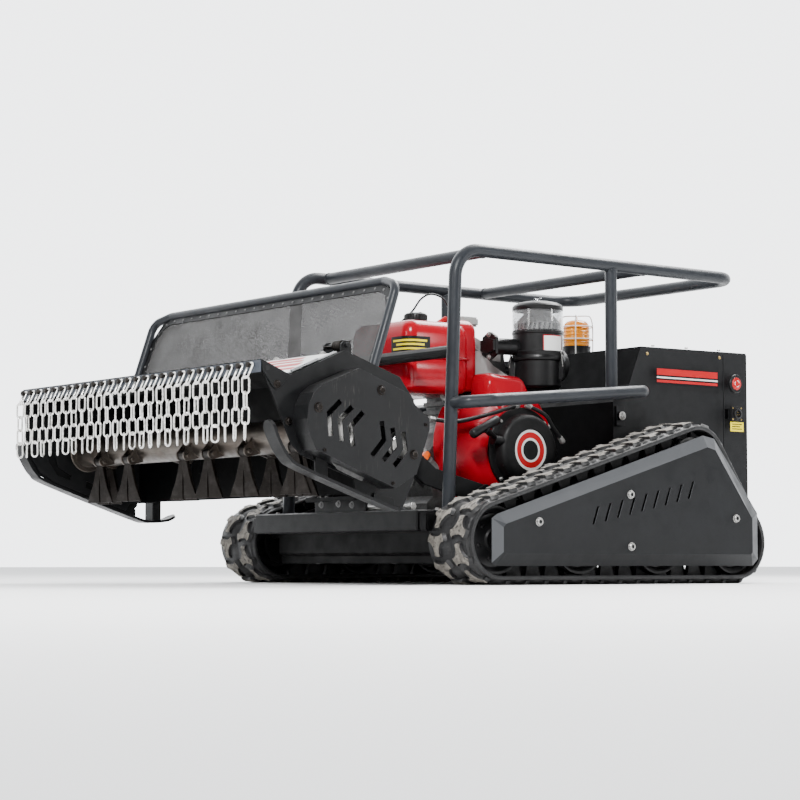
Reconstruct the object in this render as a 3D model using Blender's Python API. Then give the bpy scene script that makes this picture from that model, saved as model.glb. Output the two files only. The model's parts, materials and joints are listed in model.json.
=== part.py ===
"""Tracked remote-control flail mower: a steel chassis on two rubber tracks, an air-cooled engine
inside a tubular roll cage, a control cabinet behind it, and a raised flail deck in front.

Metres, +Z up, ground at Z = 0. The machine faces -Y and +X is its left side. The origin is on the
ground under the middle of the machine's overall box."""

import math

import bmesh
import bpy
from mathutils import Matrix, Vector

GAP = 0.0003          # clearance between touching pieces
RUN = 0.0012          # radial clearance of a turning piece on its shaft

# Tracks: a 200 mm wide rubber belt on a triangle of three corner wheels
TRACK_X = 0.536       # middle of each belt
BELT_HALF = 0.097     # half of the belt's width
BELT_INNER = 0.0995   # radius of the belt's inner face round a corner
BELT_FACE = 0.1130    # radius of the face between the lugs
BELT_TIP = 0.1250     # radius of the lug tips
LUGS = 38             # lugs round the belt, 72 mm apart
WHEEL_Z = 0.125
WHEEL_R = 0.0965
WHEEL_Y = [-0.197 + 0.3153 * i for i in range(4)]
WHEEL_NAMES = ["front_idler", "front_road_wheel", "rear_road_wheel", "rear_idler"]
SPROCKET_Y, SPROCKET_Z = 0.583, 0.362
SPROCKET_TEETH = 8
AXLE_R = 0.014
PLATE_X = 0.450       # inner face of the track frame's side plate
COVER_X = 0.6370      # root of the bolted side cover
COVER_DEPTH = 0.0195

# Chassis
BEAM_Y0, BEAM_Y1 = -0.325, -0.262
BEAM_Z0, BEAM_Z1 = 0.152, 0.213
DECK_Z = 0.2060       # top of the engine plate
CHASSIS_X = 0.436

# Cage
TUBE_R = 0.019
CAGE_X = 0.402
CAGE_Z = 0.973
CAGE_REAR_Y = 0.985
POST_FOOT_Y, POST_TOP_Y = -0.205, -0.174
REAR_POST_Y = 0.437
RAIL_END_Y = 0.492    # where the side rail turns in to the cabinet's side

# Cabinet
CAB_X = 0.402
CAB_FRONT, CAB_TOP_FRONT, CAB_REAR = 0.443, 0.562, 1.027
CAB_TOP = 0.735
SHEET = 0.003
STOP = (0.955, 0.632)  # middle of the emergency stop button

# Engine
CRANK_Y, CRANK_Z = 0.215, 0.403
FILLER = (0.040, -0.040)

# Lift and deck
LIFT_Y, LIFT_Z = 0.0, 0.260
FLOAT_Y, FLOAT_Z = -0.585, 0.375
FLOAT_R = 0.010       # the cross shaft that the deck floats on, which also carries its belt's first pulley
ARM_X = 0.310
ROTOR_Y, ROTOR_Z = -0.800, 0.400
ROTOR_R = 0.045
SIDE_X = 0.647        # outer face of the deck's side plates
SIDE_T = 0.005
BAR_Y, BAR_Z = -1.016, 0.585
CURTAIN_Y = -1.030
FLAIL_PINS = [(-0.45, -1), (-0.15, 1), (0.15, -1), (0.45, 1)]
PIN_Y, PIN_DROP = 0.055, 0.035
FLAIL_LENGTH = 0.118
GUARD_LEAN = math.radians(21.0)
ACT_TOP = (-0.225, 0.640)
ACT_PIN = (-0.400, 0.420)


def clear_scene():
    for item in list(bpy.data.objects):
        bpy.data.objects.remove(item, do_unlink=True)


def paint(name, rgb, roughness, metallic=0.0, alpha=1.0):
    material = bpy.data.materials.new(name)
    material.use_nodes = True
    shader = material.node_tree.nodes["Principled BSDF"]
    shader.inputs["Base Color"].default_value = (*rgb, 1.0)
    shader.inputs["Roughness"].default_value = roughness
    shader.inputs["Metallic"].default_value = metallic
    shader.inputs["Alpha"].default_value = alpha
    material.diffuse_color = (*rgb, alpha)
    return material


def finish(name, bm, material, smooth=False):
    """Turns a bmesh in world coordinates into a named object."""
    bm.normal_update()
    bmesh.ops.recalc_face_normals(bm, faces=bm.faces)
    mesh = bpy.data.meshes.new(name)
    bm.to_mesh(mesh)
    bm.free()
    item = bpy.data.objects.new(name, mesh)
    bpy.context.collection.objects.link(item)
    if material:
        mesh.materials.append(material)
    if smooth:
        mesh.shade_smooth()
        mesh.set_sharp_from_angle(angle=math.radians(35))
    return item


def pivot_at(item, point):
    """Moves the object's origin to its joint without moving its shape."""
    point = Vector(point)
    item.data.transform(Matrix.Translation(-point))
    item.location = point
    return item


AXES = {"X": (1, 2, 0), "Y": (0, 2, 1), "Z": (0, 1, 2)}


def prism(name, outline, low, high, material, axis="X"):
    """A flat outline in the plane across the axis, extruded from low to high along it."""
    a, b, along = AXES[axis]
    bm = bmesh.new()

    def ring(level):
        verts = []
        for u, v in outline:
            point = [0.0, 0.0, 0.0]
            point[a], point[b], point[along] = u, v, level
            verts.append(bm.verts.new(point))
        return verts

    first, last = ring(low), ring(high)
    bm.faces.new(first)
    bm.faces.new(last)
    count = len(outline)
    for i in range(count):
        j = (i + 1) % count
        bm.faces.new((first[i], first[j], last[j], last[i]))
    return finish(name, bm, material)


def block(name, low, high, material, bevel=0.0, segments=1):
    bm = bmesh.new()
    bmesh.ops.create_cube(bm, size=1.0)
    low, high = Vector(low), Vector(high)
    size, middle = high - low, (high + low) / 2
    for vert in bm.verts:
        vert.co = Vector([vert.co[k] * size[k] + middle[k] for k in range(3)])
    if bevel:
        bmesh.ops.bevel(bm, geom=bm.edges[:], offset=bevel, segments=segments, affect="EDGES")
    return finish(name, bm, material, smooth=segments > 1)


def turned(name, profile, centre, material, axis="X", sides=24, closed=False, phase=0.0):
    """A turned piece: profile points are (place along the axis, radius) about centre."""
    along = "XYZ".index(axis)
    a, b = [k for k in range(3) if k != along]
    bm = bmesh.new()
    rings = []
    for place, radius in profile:
        steps = range(sides) if radius > 0 else range(1)
        ring = []
        for step in steps:
            angle = 2 * math.pi * (step + phase) / sides
            point = list(centre)
            point[along] += place
            point[a] += radius * math.cos(angle)
            point[b] += radius * math.sin(angle)
            ring.append(bm.verts.new(point))
        rings.append(ring)
    pairs = list(zip(rings, rings[1:]))
    if closed:
        pairs.append((rings[-1], rings[0]))
    for near, far in pairs:
        for i in range(sides):
            j = (i + 1) % sides
            corners = [near[i % len(near)], near[j % len(near)], far[j % len(far)], far[i % len(far)]]
            distinct = [v for k, v in enumerate(corners) if v not in corners[:k]]
            if len(distinct) > 2:
                bm.faces.new(distinct)
    return finish(name, bm, material, smooth=True)


def rod(name, start, end, radius, material, sides=16, end_radius=None):
    """A plain round bar between two points."""
    start, end = Vector(start), Vector(end)
    bm = bmesh.new()
    bmesh.ops.create_cone(bm, cap_ends=True, segments=sides, radius1=radius,
                          radius2=radius if end_radius is None else end_radius,
                          depth=(end - start).length)
    turn = (end - start).to_track_quat("Z", "Y").to_matrix().to_4x4()
    bm.transform(Matrix.Translation((start + end) / 2) @ turn)
    return finish(name, bm, material, smooth=True)


def fillet(corners, bend, steps=6):
    """Rounds each inner corner of a path with an arc of the bend radius."""
    corners = [Vector(c) for c in corners]
    path = [corners[0]]
    for before, corner, after in zip(corners, corners[1:], corners[2:]):
        come, go = (before - corner).normalized(), (after - corner).normalized()
        half = come.angle(go) / 2
        reach = bend / math.tan(half)
        middle = corner + (come + go).normalized() * (bend / math.sin(half))
        first = corner + come * reach - middle
        sweep = math.pi - 2 * half
        spin = first.cross(corner + go * reach - middle).normalized()
        for k in range(steps + 1):
            path.append(middle + Matrix.Rotation(sweep * k / steps, 3, spin) @ first)
    path.append(corners[-1])
    return path


def tube(name, path, radius, material, sides=12):
    """A round bar swept along a path, its section carried round each bend without twist."""
    path = [Vector(p) for p in path]
    bm = bmesh.new()
    heading = (path[1] - path[0]).normalized()
    side = heading.orthogonal().normalized()
    rings = []
    for k, point in enumerate(path):
        before = path[max(k - 1, 0)]
        after = path[min(k + 1, len(path) - 1)]
        turn = heading.rotation_difference((after - before).normalized())
        heading = (after - before).normalized()
        side = turn @ side
        up = heading.cross(side)
        rings.append([bm.verts.new(point + radius * (math.cos(t) * side + math.sin(t) * up))
                      for t in (2 * math.pi * i / sides for i in range(sides))])
    bm.faces.new(rings[0])
    bm.faces.new(rings[-1])
    for near, far in zip(rings, rings[1:]):
        for i in range(sides):
            j = (i + 1) % sides
            bm.faces.new((near[i], near[j], far[j], far[i]))
    return finish(name, bm, material, smooth=True)


def combine(item, others, operation):
    """Applies exact Booleans with the other objects, then removes them."""
    for other in others:
        modifier = item.modifiers.new(other.name, "BOOLEAN")
        modifier.operation = operation
        modifier.solver = "EXACT"
        modifier.object = other
    bpy.context.view_layer.update()
    evaluated = item.evaluated_get(bpy.context.evaluated_depsgraph_get())
    mesh = bpy.data.meshes.new_from_object(evaluated)
    item.modifiers.clear()
    bm = bmesh.new()
    bm.from_mesh(mesh)
    bmesh.ops.remove_doubles(bm, verts=bm.verts, dist=0.00002)
    bmesh.ops.dissolve_degenerate(bm, edges=bm.edges, dist=0.00002)
    bm.to_mesh(mesh)
    bm.free()
    mesh.name = item.name
    item.data = mesh
    for other in others:
        bpy.data.objects.remove(other, do_unlink=True)
    return item


def join(item, *others):
    return combine(item, others, "UNION")


def cut(item, *others):
    return combine(item, others, "DIFFERENCE")


def folded(path, thickness):
    """The closed outline of a sheet of the given thickness whose outer face follows the path."""
    points = [Vector(p) for p in path]
    inner = []
    for k, point in enumerate(points):
        normals = []
        for a, b in ((k - 1, k), (k, k + 1)):
            if a >= 0 and b < len(points):
                step = (points[b] - points[a]).normalized()
                normals.append(Vector((step.y, -step.x)))
        middle = sum(normals, Vector((0, 0))).normalized()
        inner.append(point + middle * thickness / middle.dot(normals[0]))
    return [tuple(p) for p in points] + [tuple(p) for p in reversed(inner)]


def arc(centre, radius, start, end, steps):
    """Points on an arc, angles in degrees."""
    return [(centre[0] + radius * math.cos(math.radians(start + (end - start) * k / steps)),
             centre[1] + radius * math.sin(math.radians(start + (end - start) * k / steps)))
            for k in range(steps + 1)]


# ---------------------------------------------------------------- tracks

def loop_point(distance, radius):
    """A point on the belt's loop, at a distance along its pitch line, and its outward normal."""
    corners = [Vector((WHEEL_Y[0], WHEEL_Z)), Vector((WHEEL_Y[3], WHEEL_Z)),
               Vector((SPROCKET_Y, SPROCKET_Z))]
    pitch_r = BELT_FACE - 0.006
    pieces = []
    for k in range(3):
        here, there, last = corners[k], corners[(k + 1) % 3], corners[k - 1]
        come, go = (here - last).normalized(), (there - here).normalized()
        turn = come.angle(go)
        start = math.atan2(-come.x, come.y)
        pieces.append(("arc", here, start, turn, turn * pitch_r))
        pieces.append(("line", here, there, Vector((go.y, -go.x)), (there - here).length))
    total = sum(piece[-1] for piece in pieces)
    distance = distance % 1.0 * total
    for piece in pieces:
        if distance <= piece[-1]:
            break
        distance -= piece[-1]
    if piece[0] == "arc":
        _, middle, start, turn, length = piece
        angle = start + turn * distance / length
        normal = Vector((math.cos(angle), math.sin(angle)))
        return middle + normal * radius
    _, here, there, normal, length = piece
    return here.lerp(there, distance / length) + normal * radius


def make_belt(side, name, material):
    """The belt: a ring with a bar lug on each pitch, plain inside."""
    outer = []
    for i in range(LUGS):
        for part, radius in ((0.0, BELT_TIP), (0.42, BELT_TIP), (0.52, BELT_FACE), (0.90, BELT_FACE)):
            outer.append(tuple(loop_point((i + part) / LUGS, radius)))
    inner = [tuple(loop_point(i / (2 * LUGS), BELT_INNER)) for i in range(2 * LUGS)]
    bm = bmesh.new()
    rings = {}
    for edge in (-1, 1):
        x = side * TRACK_X + edge * BELT_HALF
        rings[edge] = ([bm.verts.new((x, y, z)) for y, z in outer],
                       [bm.verts.new((x, y, z)) for y, z in inner])
    for which in (0, 1):
        near, far = rings[-1][which], rings[1][which]
        for i in range(len(near)):
            j = (i + 1) % len(near)
            bm.faces.new((near[i], near[j], far[j], far[i]))
    for edge in (-1, 1):
        rim, core = rings[edge]
        for i in range(2 * LUGS):
            j = (i + 1) % (2 * LUGS)
            a, b, c = rim[2 * i], rim[2 * i + 1], rim[(2 * i + 2) % len(rim)]
            bm.faces.new((core[i], a, b))
            bm.faces.new((core[i], b, c, core[j]))
    return finish(name, bm, material)


def make_wheel(side, name, y, z, material):
    """A spool wheel: two rims with a narrow waist for the belt's guide lugs, bored for its axle."""
    bore, hub, rim = AXLE_R + RUN, 0.046, WHEEL_R
    profile = [(-0.062, bore), (-0.062, 0.080), (-0.070, rim), (-0.045, rim), (-0.045, hub),
               (0.045, hub), (0.045, rim), (0.070, rim), (0.062, 0.080), (0.062, bore)]
    wheel = turned(name, profile, (side * TRACK_X, y, z), material, sides=16, closed=True)
    return pivot_at(wheel, (side * TRACK_X, y, z))


def make_sprocket(side, name, material):
    """A toothed disc between two support rims, on the motor's hub."""
    centre = (side * TRACK_X, SPROCKET_Y, SPROCKET_Z)
    outline = []
    for tooth in range(SPROCKET_TEETH):
        for part, radius in ((0.0, 0.070), (0.30, 0.072), (0.42, 0.0965), (0.58, 0.0965),
                             (0.70, 0.072)):
            angle = 2 * math.pi * (tooth + part) / SPROCKET_TEETH
            outline.append((centre[1] + radius * math.cos(angle), centre[2] + radius * math.sin(angle)))
    disc = prism(name, outline, centre[0] - 0.017, centre[0] + 0.017, material)
    bore = AXLE_R + RUN
    hub = turned("hub", [(-0.066, bore), (-0.060, 0.080), (-0.044, 0.080), (-0.044, 0.042),
                         (0.044, 0.042), (0.044, 0.080), (0.060, 0.080), (0.066, bore)],
                 centre, None, sides=16, closed=True)
    eye = rod("eye", (centre[0] - 0.03, *centre[1:]), (centre[0] + 0.03, *centre[1:]), 0.030, None, sides=16)
    return pivot_at(join(cut(disc, eye), hub), centre)


def track_hull(offset, low_z):
    """A closed triangle round the wheels' centres, grown by the offset and cut off at low_z."""
    corners = []
    for k in range(48):
        y, z = loop_point(k / 48, offset)
        corners.append((y, max(z, low_z)))
    return [p for i, p in enumerate(corners) if (Vector(p) - Vector(corners[i - 1])).length > 0.004]


def make_track_frame(side, name, material):
    """The inner side plate with its four wheel axles, the sprocket shaft and the motor housing."""
    inner, outer = sorted((side * (PLATE_X - 0.010), side * PLATE_X))
    frame = prism(name, track_hull(0.070, 0.062), inner, outer, material)
    parts = []
    tip = side * (COVER_X - 0.002)
    for y, z in [(y, WHEEL_Z) for y in WHEEL_Y] + [(SPROCKET_Y, SPROCKET_Z)]:
        parts.append(rod("axle", (side * (PLATE_X - 0.004), y, z), (tip, y, z), AXLE_R, None, sides=16))
    hub = (SPROCKET_Y, SPROCKET_Z)
    parts.append(rod("motor", (side * (PLATE_X - 0.005), *hub), (side * (CAB_X + 0.0015), *hub), 0.068, None))
    reach = side * (COVER_X + COVER_DEPTH - SHEET - GAP)
    for y, z in COVER_BOLTS[:3]:
        parts.append(rod("standoff", (side * (PLATE_X - 0.004), y, z), (reach, y, z), 0.009, None, sides=8))
    low, high = sorted((side * (PLATE_X - 0.060), side * (PLATE_X - 0.005)))
    parts.append(block("rail", (low, -0.240, 0.140), (high, 0.800, 0.2005), None))
    return join(frame, *parts)


COVER_BASE = [(-0.239, 0.062), (-0.239, 0.186), (-0.219, 0.198), (0.590, 0.4445), (0.638, 0.436),
              (0.822, 0.214), (0.822, 0.073), (0.799, 0.053), (-0.225, 0.053)]
COVER_FACE = [(-0.212, 0.092), (-0.212, 0.160), (-0.202, 0.170), (0.590, 0.408), (0.624, 0.400),
              (0.780, 0.196), (0.780, 0.096), (0.774, 0.088), (-0.204, 0.088)]
COVER_BOLTS = [(-0.082, 0.177), (0.273, 0.109), (0.271, 0.260), (0.708, 0.196)]


def make_track_cover(side, name, material):
    """A dished side plate with sloping edges, four bolts and a row of slanted vent slots."""
    root, face = side * COVER_X, side * (COVER_X + COVER_DEPTH)
    bm = bmesh.new()
    rings = [[bm.verts.new((x, y, z)) for y, z in outline]
             for outline, x in ((COVER_BASE, root), (COVER_FACE, face))]
    bm.faces.new(rings[1])
    count = len(COVER_BASE)
    for i in range(count):
        j = (i + 1) % count
        bm.faces.new((rings[0][i], rings[0][j], rings[1][j], rings[1][i]))
    cover = finish(name, bm, material)
    thick = cover.modifiers.new("plate", "SOLIDIFY")
    thick.thickness = SHEET
    thick.offset = -1
    thick.use_even_offset = True
    if sum(p.normal.x * p.area for p in cover.data.polygons) * side < 0:
        cover.data.flip_normals()
    slots = []
    for k in range(9):
        y = 0.120 + 0.048 * k
        z = 0.172 + 0.010 * k
        slots.append(prism("slot", [(y, z), (y + 0.010, z), (y + 0.030, z + 0.052), (y + 0.020, z + 0.052)],
                           *sorted((side * (COVER_X - 0.02), side * (COVER_X + 0.05))), None))
    cut(cover, *slots)
    bolts = [rod("bolt", (face - side * 0.002, y, z), (face + side * 0.006, y, z), 0.011, None, sides=12)
             for y, z in COVER_BOLTS]
    return join(cover, *bolts)


def build_tracks(palette):
    for side, label in ((1, "left"), (-1, "right")):
        make_belt(side, label + "_track_belt", palette["rubber"])
        for wheel, y in zip(WHEEL_NAMES, WHEEL_Y):
            make_wheel(side, f"{label}_{wheel}", y, WHEEL_Z, palette["black_steel"])
        make_sprocket(side, label + "_drive_sprocket", palette["bare_steel"])
        make_track_frame(side, label + "_track_frame", palette["black_steel"])
        make_track_cover(side, label + "_track_cover", palette["black_paint"])


# ---------------------------------------------------------------- chassis

def build_chassis(palette):
    paint_black = palette["black_paint"]
    beam = block("front_crossbeam", (-0.410, BEAM_Y0, BEAM_Z0), (0.410, BEAM_Y1, BEAM_Z1), paint_black,
                 bevel=0.004)
    ends = []
    for s in (-1, 1):
        low, high = sorted((s * 0.405, s * CHASSIS_X))
        ends.append(block("end", (low, BEAM_Y0 + 0.012, BEAM_Z0 + 0.004), (high, -0.2405, DECK_Z - 0.0056),
                          None))
    stop = block("stop", (-0.105, BEAM_Y0 + 0.012, BEAM_Z1 - 0.004), (0.150, BEAM_Y0 + 0.020, 0.248), None)
    join(beam, *ends, stop)

    plate = block("engine_plate", (-CHASSIS_X, -0.2550, DECK_Z - 0.005), (CHASSIS_X, 1.000, DECK_Z),
                  paint_black)
    ears = []
    for s in (-1, 1):
        low, high = sorted((s * (ARM_X + 0.0075), s * (ARM_X + 0.0195)))
        ears.append(prism("ear", [(-0.045, DECK_Z - 0.002), (-0.030, LIFT_Z + 0.020), (0.0, LIFT_Z + 0.034),
                                  (0.030, LIFT_Z + 0.020), (0.045, DECK_Z - 0.002)], low, high, None))
        low, high = sorted((s * (ARM_X - 0.0075), s * (ARM_X + 0.010)))
        ears.append(rod("pin", (low, LIFT_Y, LIFT_Z), (high, LIFT_Y, LIFT_Z), 0.0125, None, sides=20))
    join(plate, *ears)

    path = [(-0.2500, DECK_Z - 0.0055), (-0.2500, 0.092), (-0.225, 0.078), (0.860, 0.078), (0.900, 0.100),
            (0.900, DECK_Z - 0.0055)]
    prism("belly_plate", folded(path[::-1], 0.004), -0.386, 0.386, paint_black)


# ---------------------------------------------------------------- cage

def cope(item, path):
    """Shapes the end of a tube to sit against another tube that follows the path."""
    return cut(item, tube("cope", path, TUBE_R + 0.001, None, sides=12))


def build_cage(palette):
    black = palette["tube_paint"]
    for side, label in ((1, "left"), (-1, "right")):
        x = side * CAGE_X
        main = fillet([(x, POST_FOOT_Y, DECK_Z + 0.0012), (x, POST_TOP_Y, CAGE_Z), (x, CAGE_REAR_Y, CAGE_Z),
                       (side * GAP, CAGE_REAR_Y, CAGE_Z)], 0.085, steps=5)
        tube(f"cage_{label}_tube", main, TUBE_R, black, sides=12)
        low = fillet([(x + side * 0.010, -0.190, 0.521), (side * 0.460, -0.190, 0.521),
                      (side * 0.500, -0.120, 0.527), (side * 0.500, RAIL_END_Y, 0.5825),
                      (x + side * 2 * GAP, RAIL_END_Y, 0.5825)], 0.030, steps=3)
        rail = tube(f"{label}_side_rail", low, TUBE_R, black, sides=12)
        post = tube("post", [(x, REAR_POST_Y, 0.5715), (x, REAR_POST_Y, CAGE_Z)], 0.0185, None, sides=12)
        stub = rod("stub", (x + side * 0.004, REAR_POST_Y, 0.5775), (side * 0.500, REAR_POST_Y, 0.5775), 0.0165,
                   None, sides=12)
        join(rail, post, stub)
        cope(rail, [(x, 0.0, CAGE_Z), (x, 0.8, CAGE_Z)])
        foot, top = Vector((x, POST_FOOT_Y, DECK_Z)), Vector((x, POST_TOP_Y, CAGE_Z))
        cope(rail, [foot, top])

    def cross(name, y, z, lean=0.0):
        bar = tube(name, [(-CAGE_X, y, z), (CAGE_X, y, z)], TUBE_R - 0.001, black, sides=12)
        for side in (-1, 1):
            if lean:
                axis = [(side * CAGE_X, POST_FOOT_Y, DECK_Z), (side * CAGE_X, POST_TOP_Y, CAGE_Z)]
            else:
                axis = [(side * CAGE_X, y - 0.1, z), (side * CAGE_X, y + 0.1, z)]
            bar = cope(bar, axis)
        return keep_middle(bar)

    cross("cage_front_cross_tube", -0.060, CAGE_Z)
    cross("cage_middle_cross_tube", 0.590, CAGE_Z)
    lower_z = 0.672
    lower_y = POST_FOOT_Y + (POST_TOP_Y - POST_FOOT_Y) * (lower_z - DECK_Z) / (CAGE_Z - DECK_Z)
    lower = cross("cage_lower_cross_tube", lower_y, lower_z, lean=1.0)
    lugs = []
    for x in (-0.021, 0.021):
        lugs.append(prism("lug", [(lower_y - 0.006, lower_z - 0.008), (lower_y - 0.014, lower_z + 0.010),
                                  (ACT_TOP[0] - 0.016, ACT_TOP[1] + 0.004),
                                  (ACT_TOP[0] - 0.008, ACT_TOP[1] - 0.016),
                                  (ACT_TOP[0] + 0.012, ACT_TOP[1] - 0.012)], x - 0.003, x + 0.003, None))
    lugs.append(rod("pin", (-0.026, *ACT_TOP), (0.026, *ACT_TOP), 0.006, None, sides=12))
    join(lower, *lugs)


def keep_middle(item):
    """Drops the slivers left beyond a coped end, keeping the body that holds the middle."""
    bm = bmesh.new()
    bm.from_mesh(item.data)
    start = min(bm.faces, key=lambda f: abs(f.calc_center_median().x) - 10 * (abs(f.normal.x) < 0.1))
    reached, front = {start}, [start]
    while front:
        face = front.pop()
        for edge in face.edges:
            for other in edge.link_faces:
                if other not in reached:
                    reached.add(other)
                    front.append(other)
    bmesh.ops.delete(bm, geom=[f for f in bm.faces if f not in reached], context="FACES")
    bm.to_mesh(item.data)
    bm.free()
    return item


# ---------------------------------------------------------------- cabinet and beacon

def build_cabinet(palette):
    black = palette["cabinet_paint"]
    bottom = DECK_Z + GAP
    path = [(CAB_REAR, bottom), (CAB_FRONT, bottom), (CAB_FRONT, 0.553), (0.510, 0.610),
            (CAB_TOP_FRONT, 0.731), (CAB_REAR, CAB_TOP)]
    body = prism("cabinet_body", folded(path, SHEET), -CAB_X + 0.001, CAB_X - 0.001, black)
    sides = []
    for s in (-1, 1):
        low, high = sorted((s * (CAB_X - SHEET), s * CAB_X))
        sides.append(prism("side", path, low, high, None))
    sides.append(block("sill", (-CAB_X + 0.002, CAB_REAR - SHEET, bottom + 0.001),
                       (CAB_X - 0.002, CAB_REAR, bottom + 0.030), None))
    sides.append(block("bracket", (CAB_X - 0.001, 0.4475, 0.480), (CAB_X + 0.010, 0.480, 0.540), None))
    sides.append(rod("bolt", (CAB_X + 0.008, 0.462, 0.510), (CAB_X + 0.020, 0.462, 0.510), 0.013, None))
    sides.append(block("socket", (CAB_X - 0.001, 0.931, 0.520), (CAB_X + 0.012, 0.983, 0.552), None))
    hinge = (-CAB_X + 0.006, CAB_REAR + 0.004)
    for z in (0.29, 0.65):
        sides.append(rod("knuckle", (*hinge, z - 0.020), (*hinge, z + 0.020), 0.0045, None, sides=10))
        sides.append(block("leaf", (-CAB_X + 0.001, CAB_REAR - 0.012, z - 0.018),
                           (-CAB_X + 0.007, CAB_REAR + 0.004, z + 0.018), None))
    join(body, *sides)

    door = block("cabinet_door", (-CAB_X + 0.014, CAB_REAR + 0.001, bottom + 0.005),
                 (CAB_X - 0.004, CAB_REAR + 0.007, CAB_TOP - 0.004), black)
    barrels = [rod("barrel", (*hinge, 0.33), (*hinge, 0.61), 0.0045, None, sides=10),
               block("leaf", (hinge[0], CAB_REAR + 0.0018, 0.335), (hinge[0] + 0.012, CAB_REAR + 0.0062, 0.605),
                     None),
               rod("latch", (0.350, CAB_REAR + 0.006, 0.47), (0.350, CAB_REAR + 0.009, 0.47), 0.016, None)]
    join(door, *barrels)
    pivot_at(door, (*hinge, 0.47))

    stop = [(0.0, 0.0), (0.0, 0.013), (0.010, 0.013), (0.012, 0.0215), (0.022, 0.0215), (0.026, 0.017),
            (0.026, 0.0)]
    button = turned("emergency_stop_button", stop, (CAB_X + 0.004, *STOP), palette["signal_red"],
                    sides=20)
    pivot_at(button, (CAB_X + 0.004, *STOP))
    block("battery", (-0.300, 0.620, bottom + 0.0045), (-0.040, 0.800, 0.420), palette["plastic"], bevel=0.006)
    block("control_unit", (0.060, 0.620, bottom + 0.0045), (0.320, 0.820, 0.300), palette["aluminium"],
          bevel=0.004)

    spot = (-0.080, 0.730, CAB_TOP)
    base = turned("beacon_base", [(GAP + 0.002, 0.0), (GAP + 0.002, 0.056), (0.012, 0.056), (0.016, 0.048),
                                  (0.042, 0.048), (0.042, 0.0)], spot, palette["plastic"], axis="Z")
    top = spot[2] + 0.143
    bars = [rod("crown", (*spot[:2], top - 0.003), (*spot[:2], top + 0.003), 0.010, None, sides=12)]
    for k in range(4):
        angle = math.radians(45 + 90 * k)
        out = Vector((math.cos(angle), math.sin(angle), 0.0))
        foot = Vector(spot) + out * 0.0515
        path = [foot + Vector((0, 0, 0.009)), foot + out * 0.0025 + Vector((0, 0, 0.055)),
                foot + out * 0.0025 + Vector((0, 0, 0.130)), foot - out * 0.008 + Vector((0, 0, 0.143)),
                Vector((*spot[:2], top)) + out * 0.006]
        bars.append(tube("wire", path, 0.0023, None, sides=5))
    for height in (0.0705, 0.1105):
        bars.append(ring_bar((spot[0], spot[1], spot[2] + height), 0.054, 0.0018))
    join(base, *bars)
    turned("beacon_lens", [(0.0425, 0.0), (0.0425, 0.044), (0.120, 0.042), (0.128, 0.034), (0.130, 0.0)],
           spot, palette["amber"], axis="Z")


def ring_bar(centre, radius, wire):
    """A level ring of wire about a centre."""
    profile = [(-wire, radius), (0.0, radius + wire), (wire, radius), (0.0, radius - wire)]
    return turned("ring", profile, centre, None, axis="Z", sides=12, closed=True, phase=0.3)


# ---------------------------------------------------------------- engine

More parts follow.
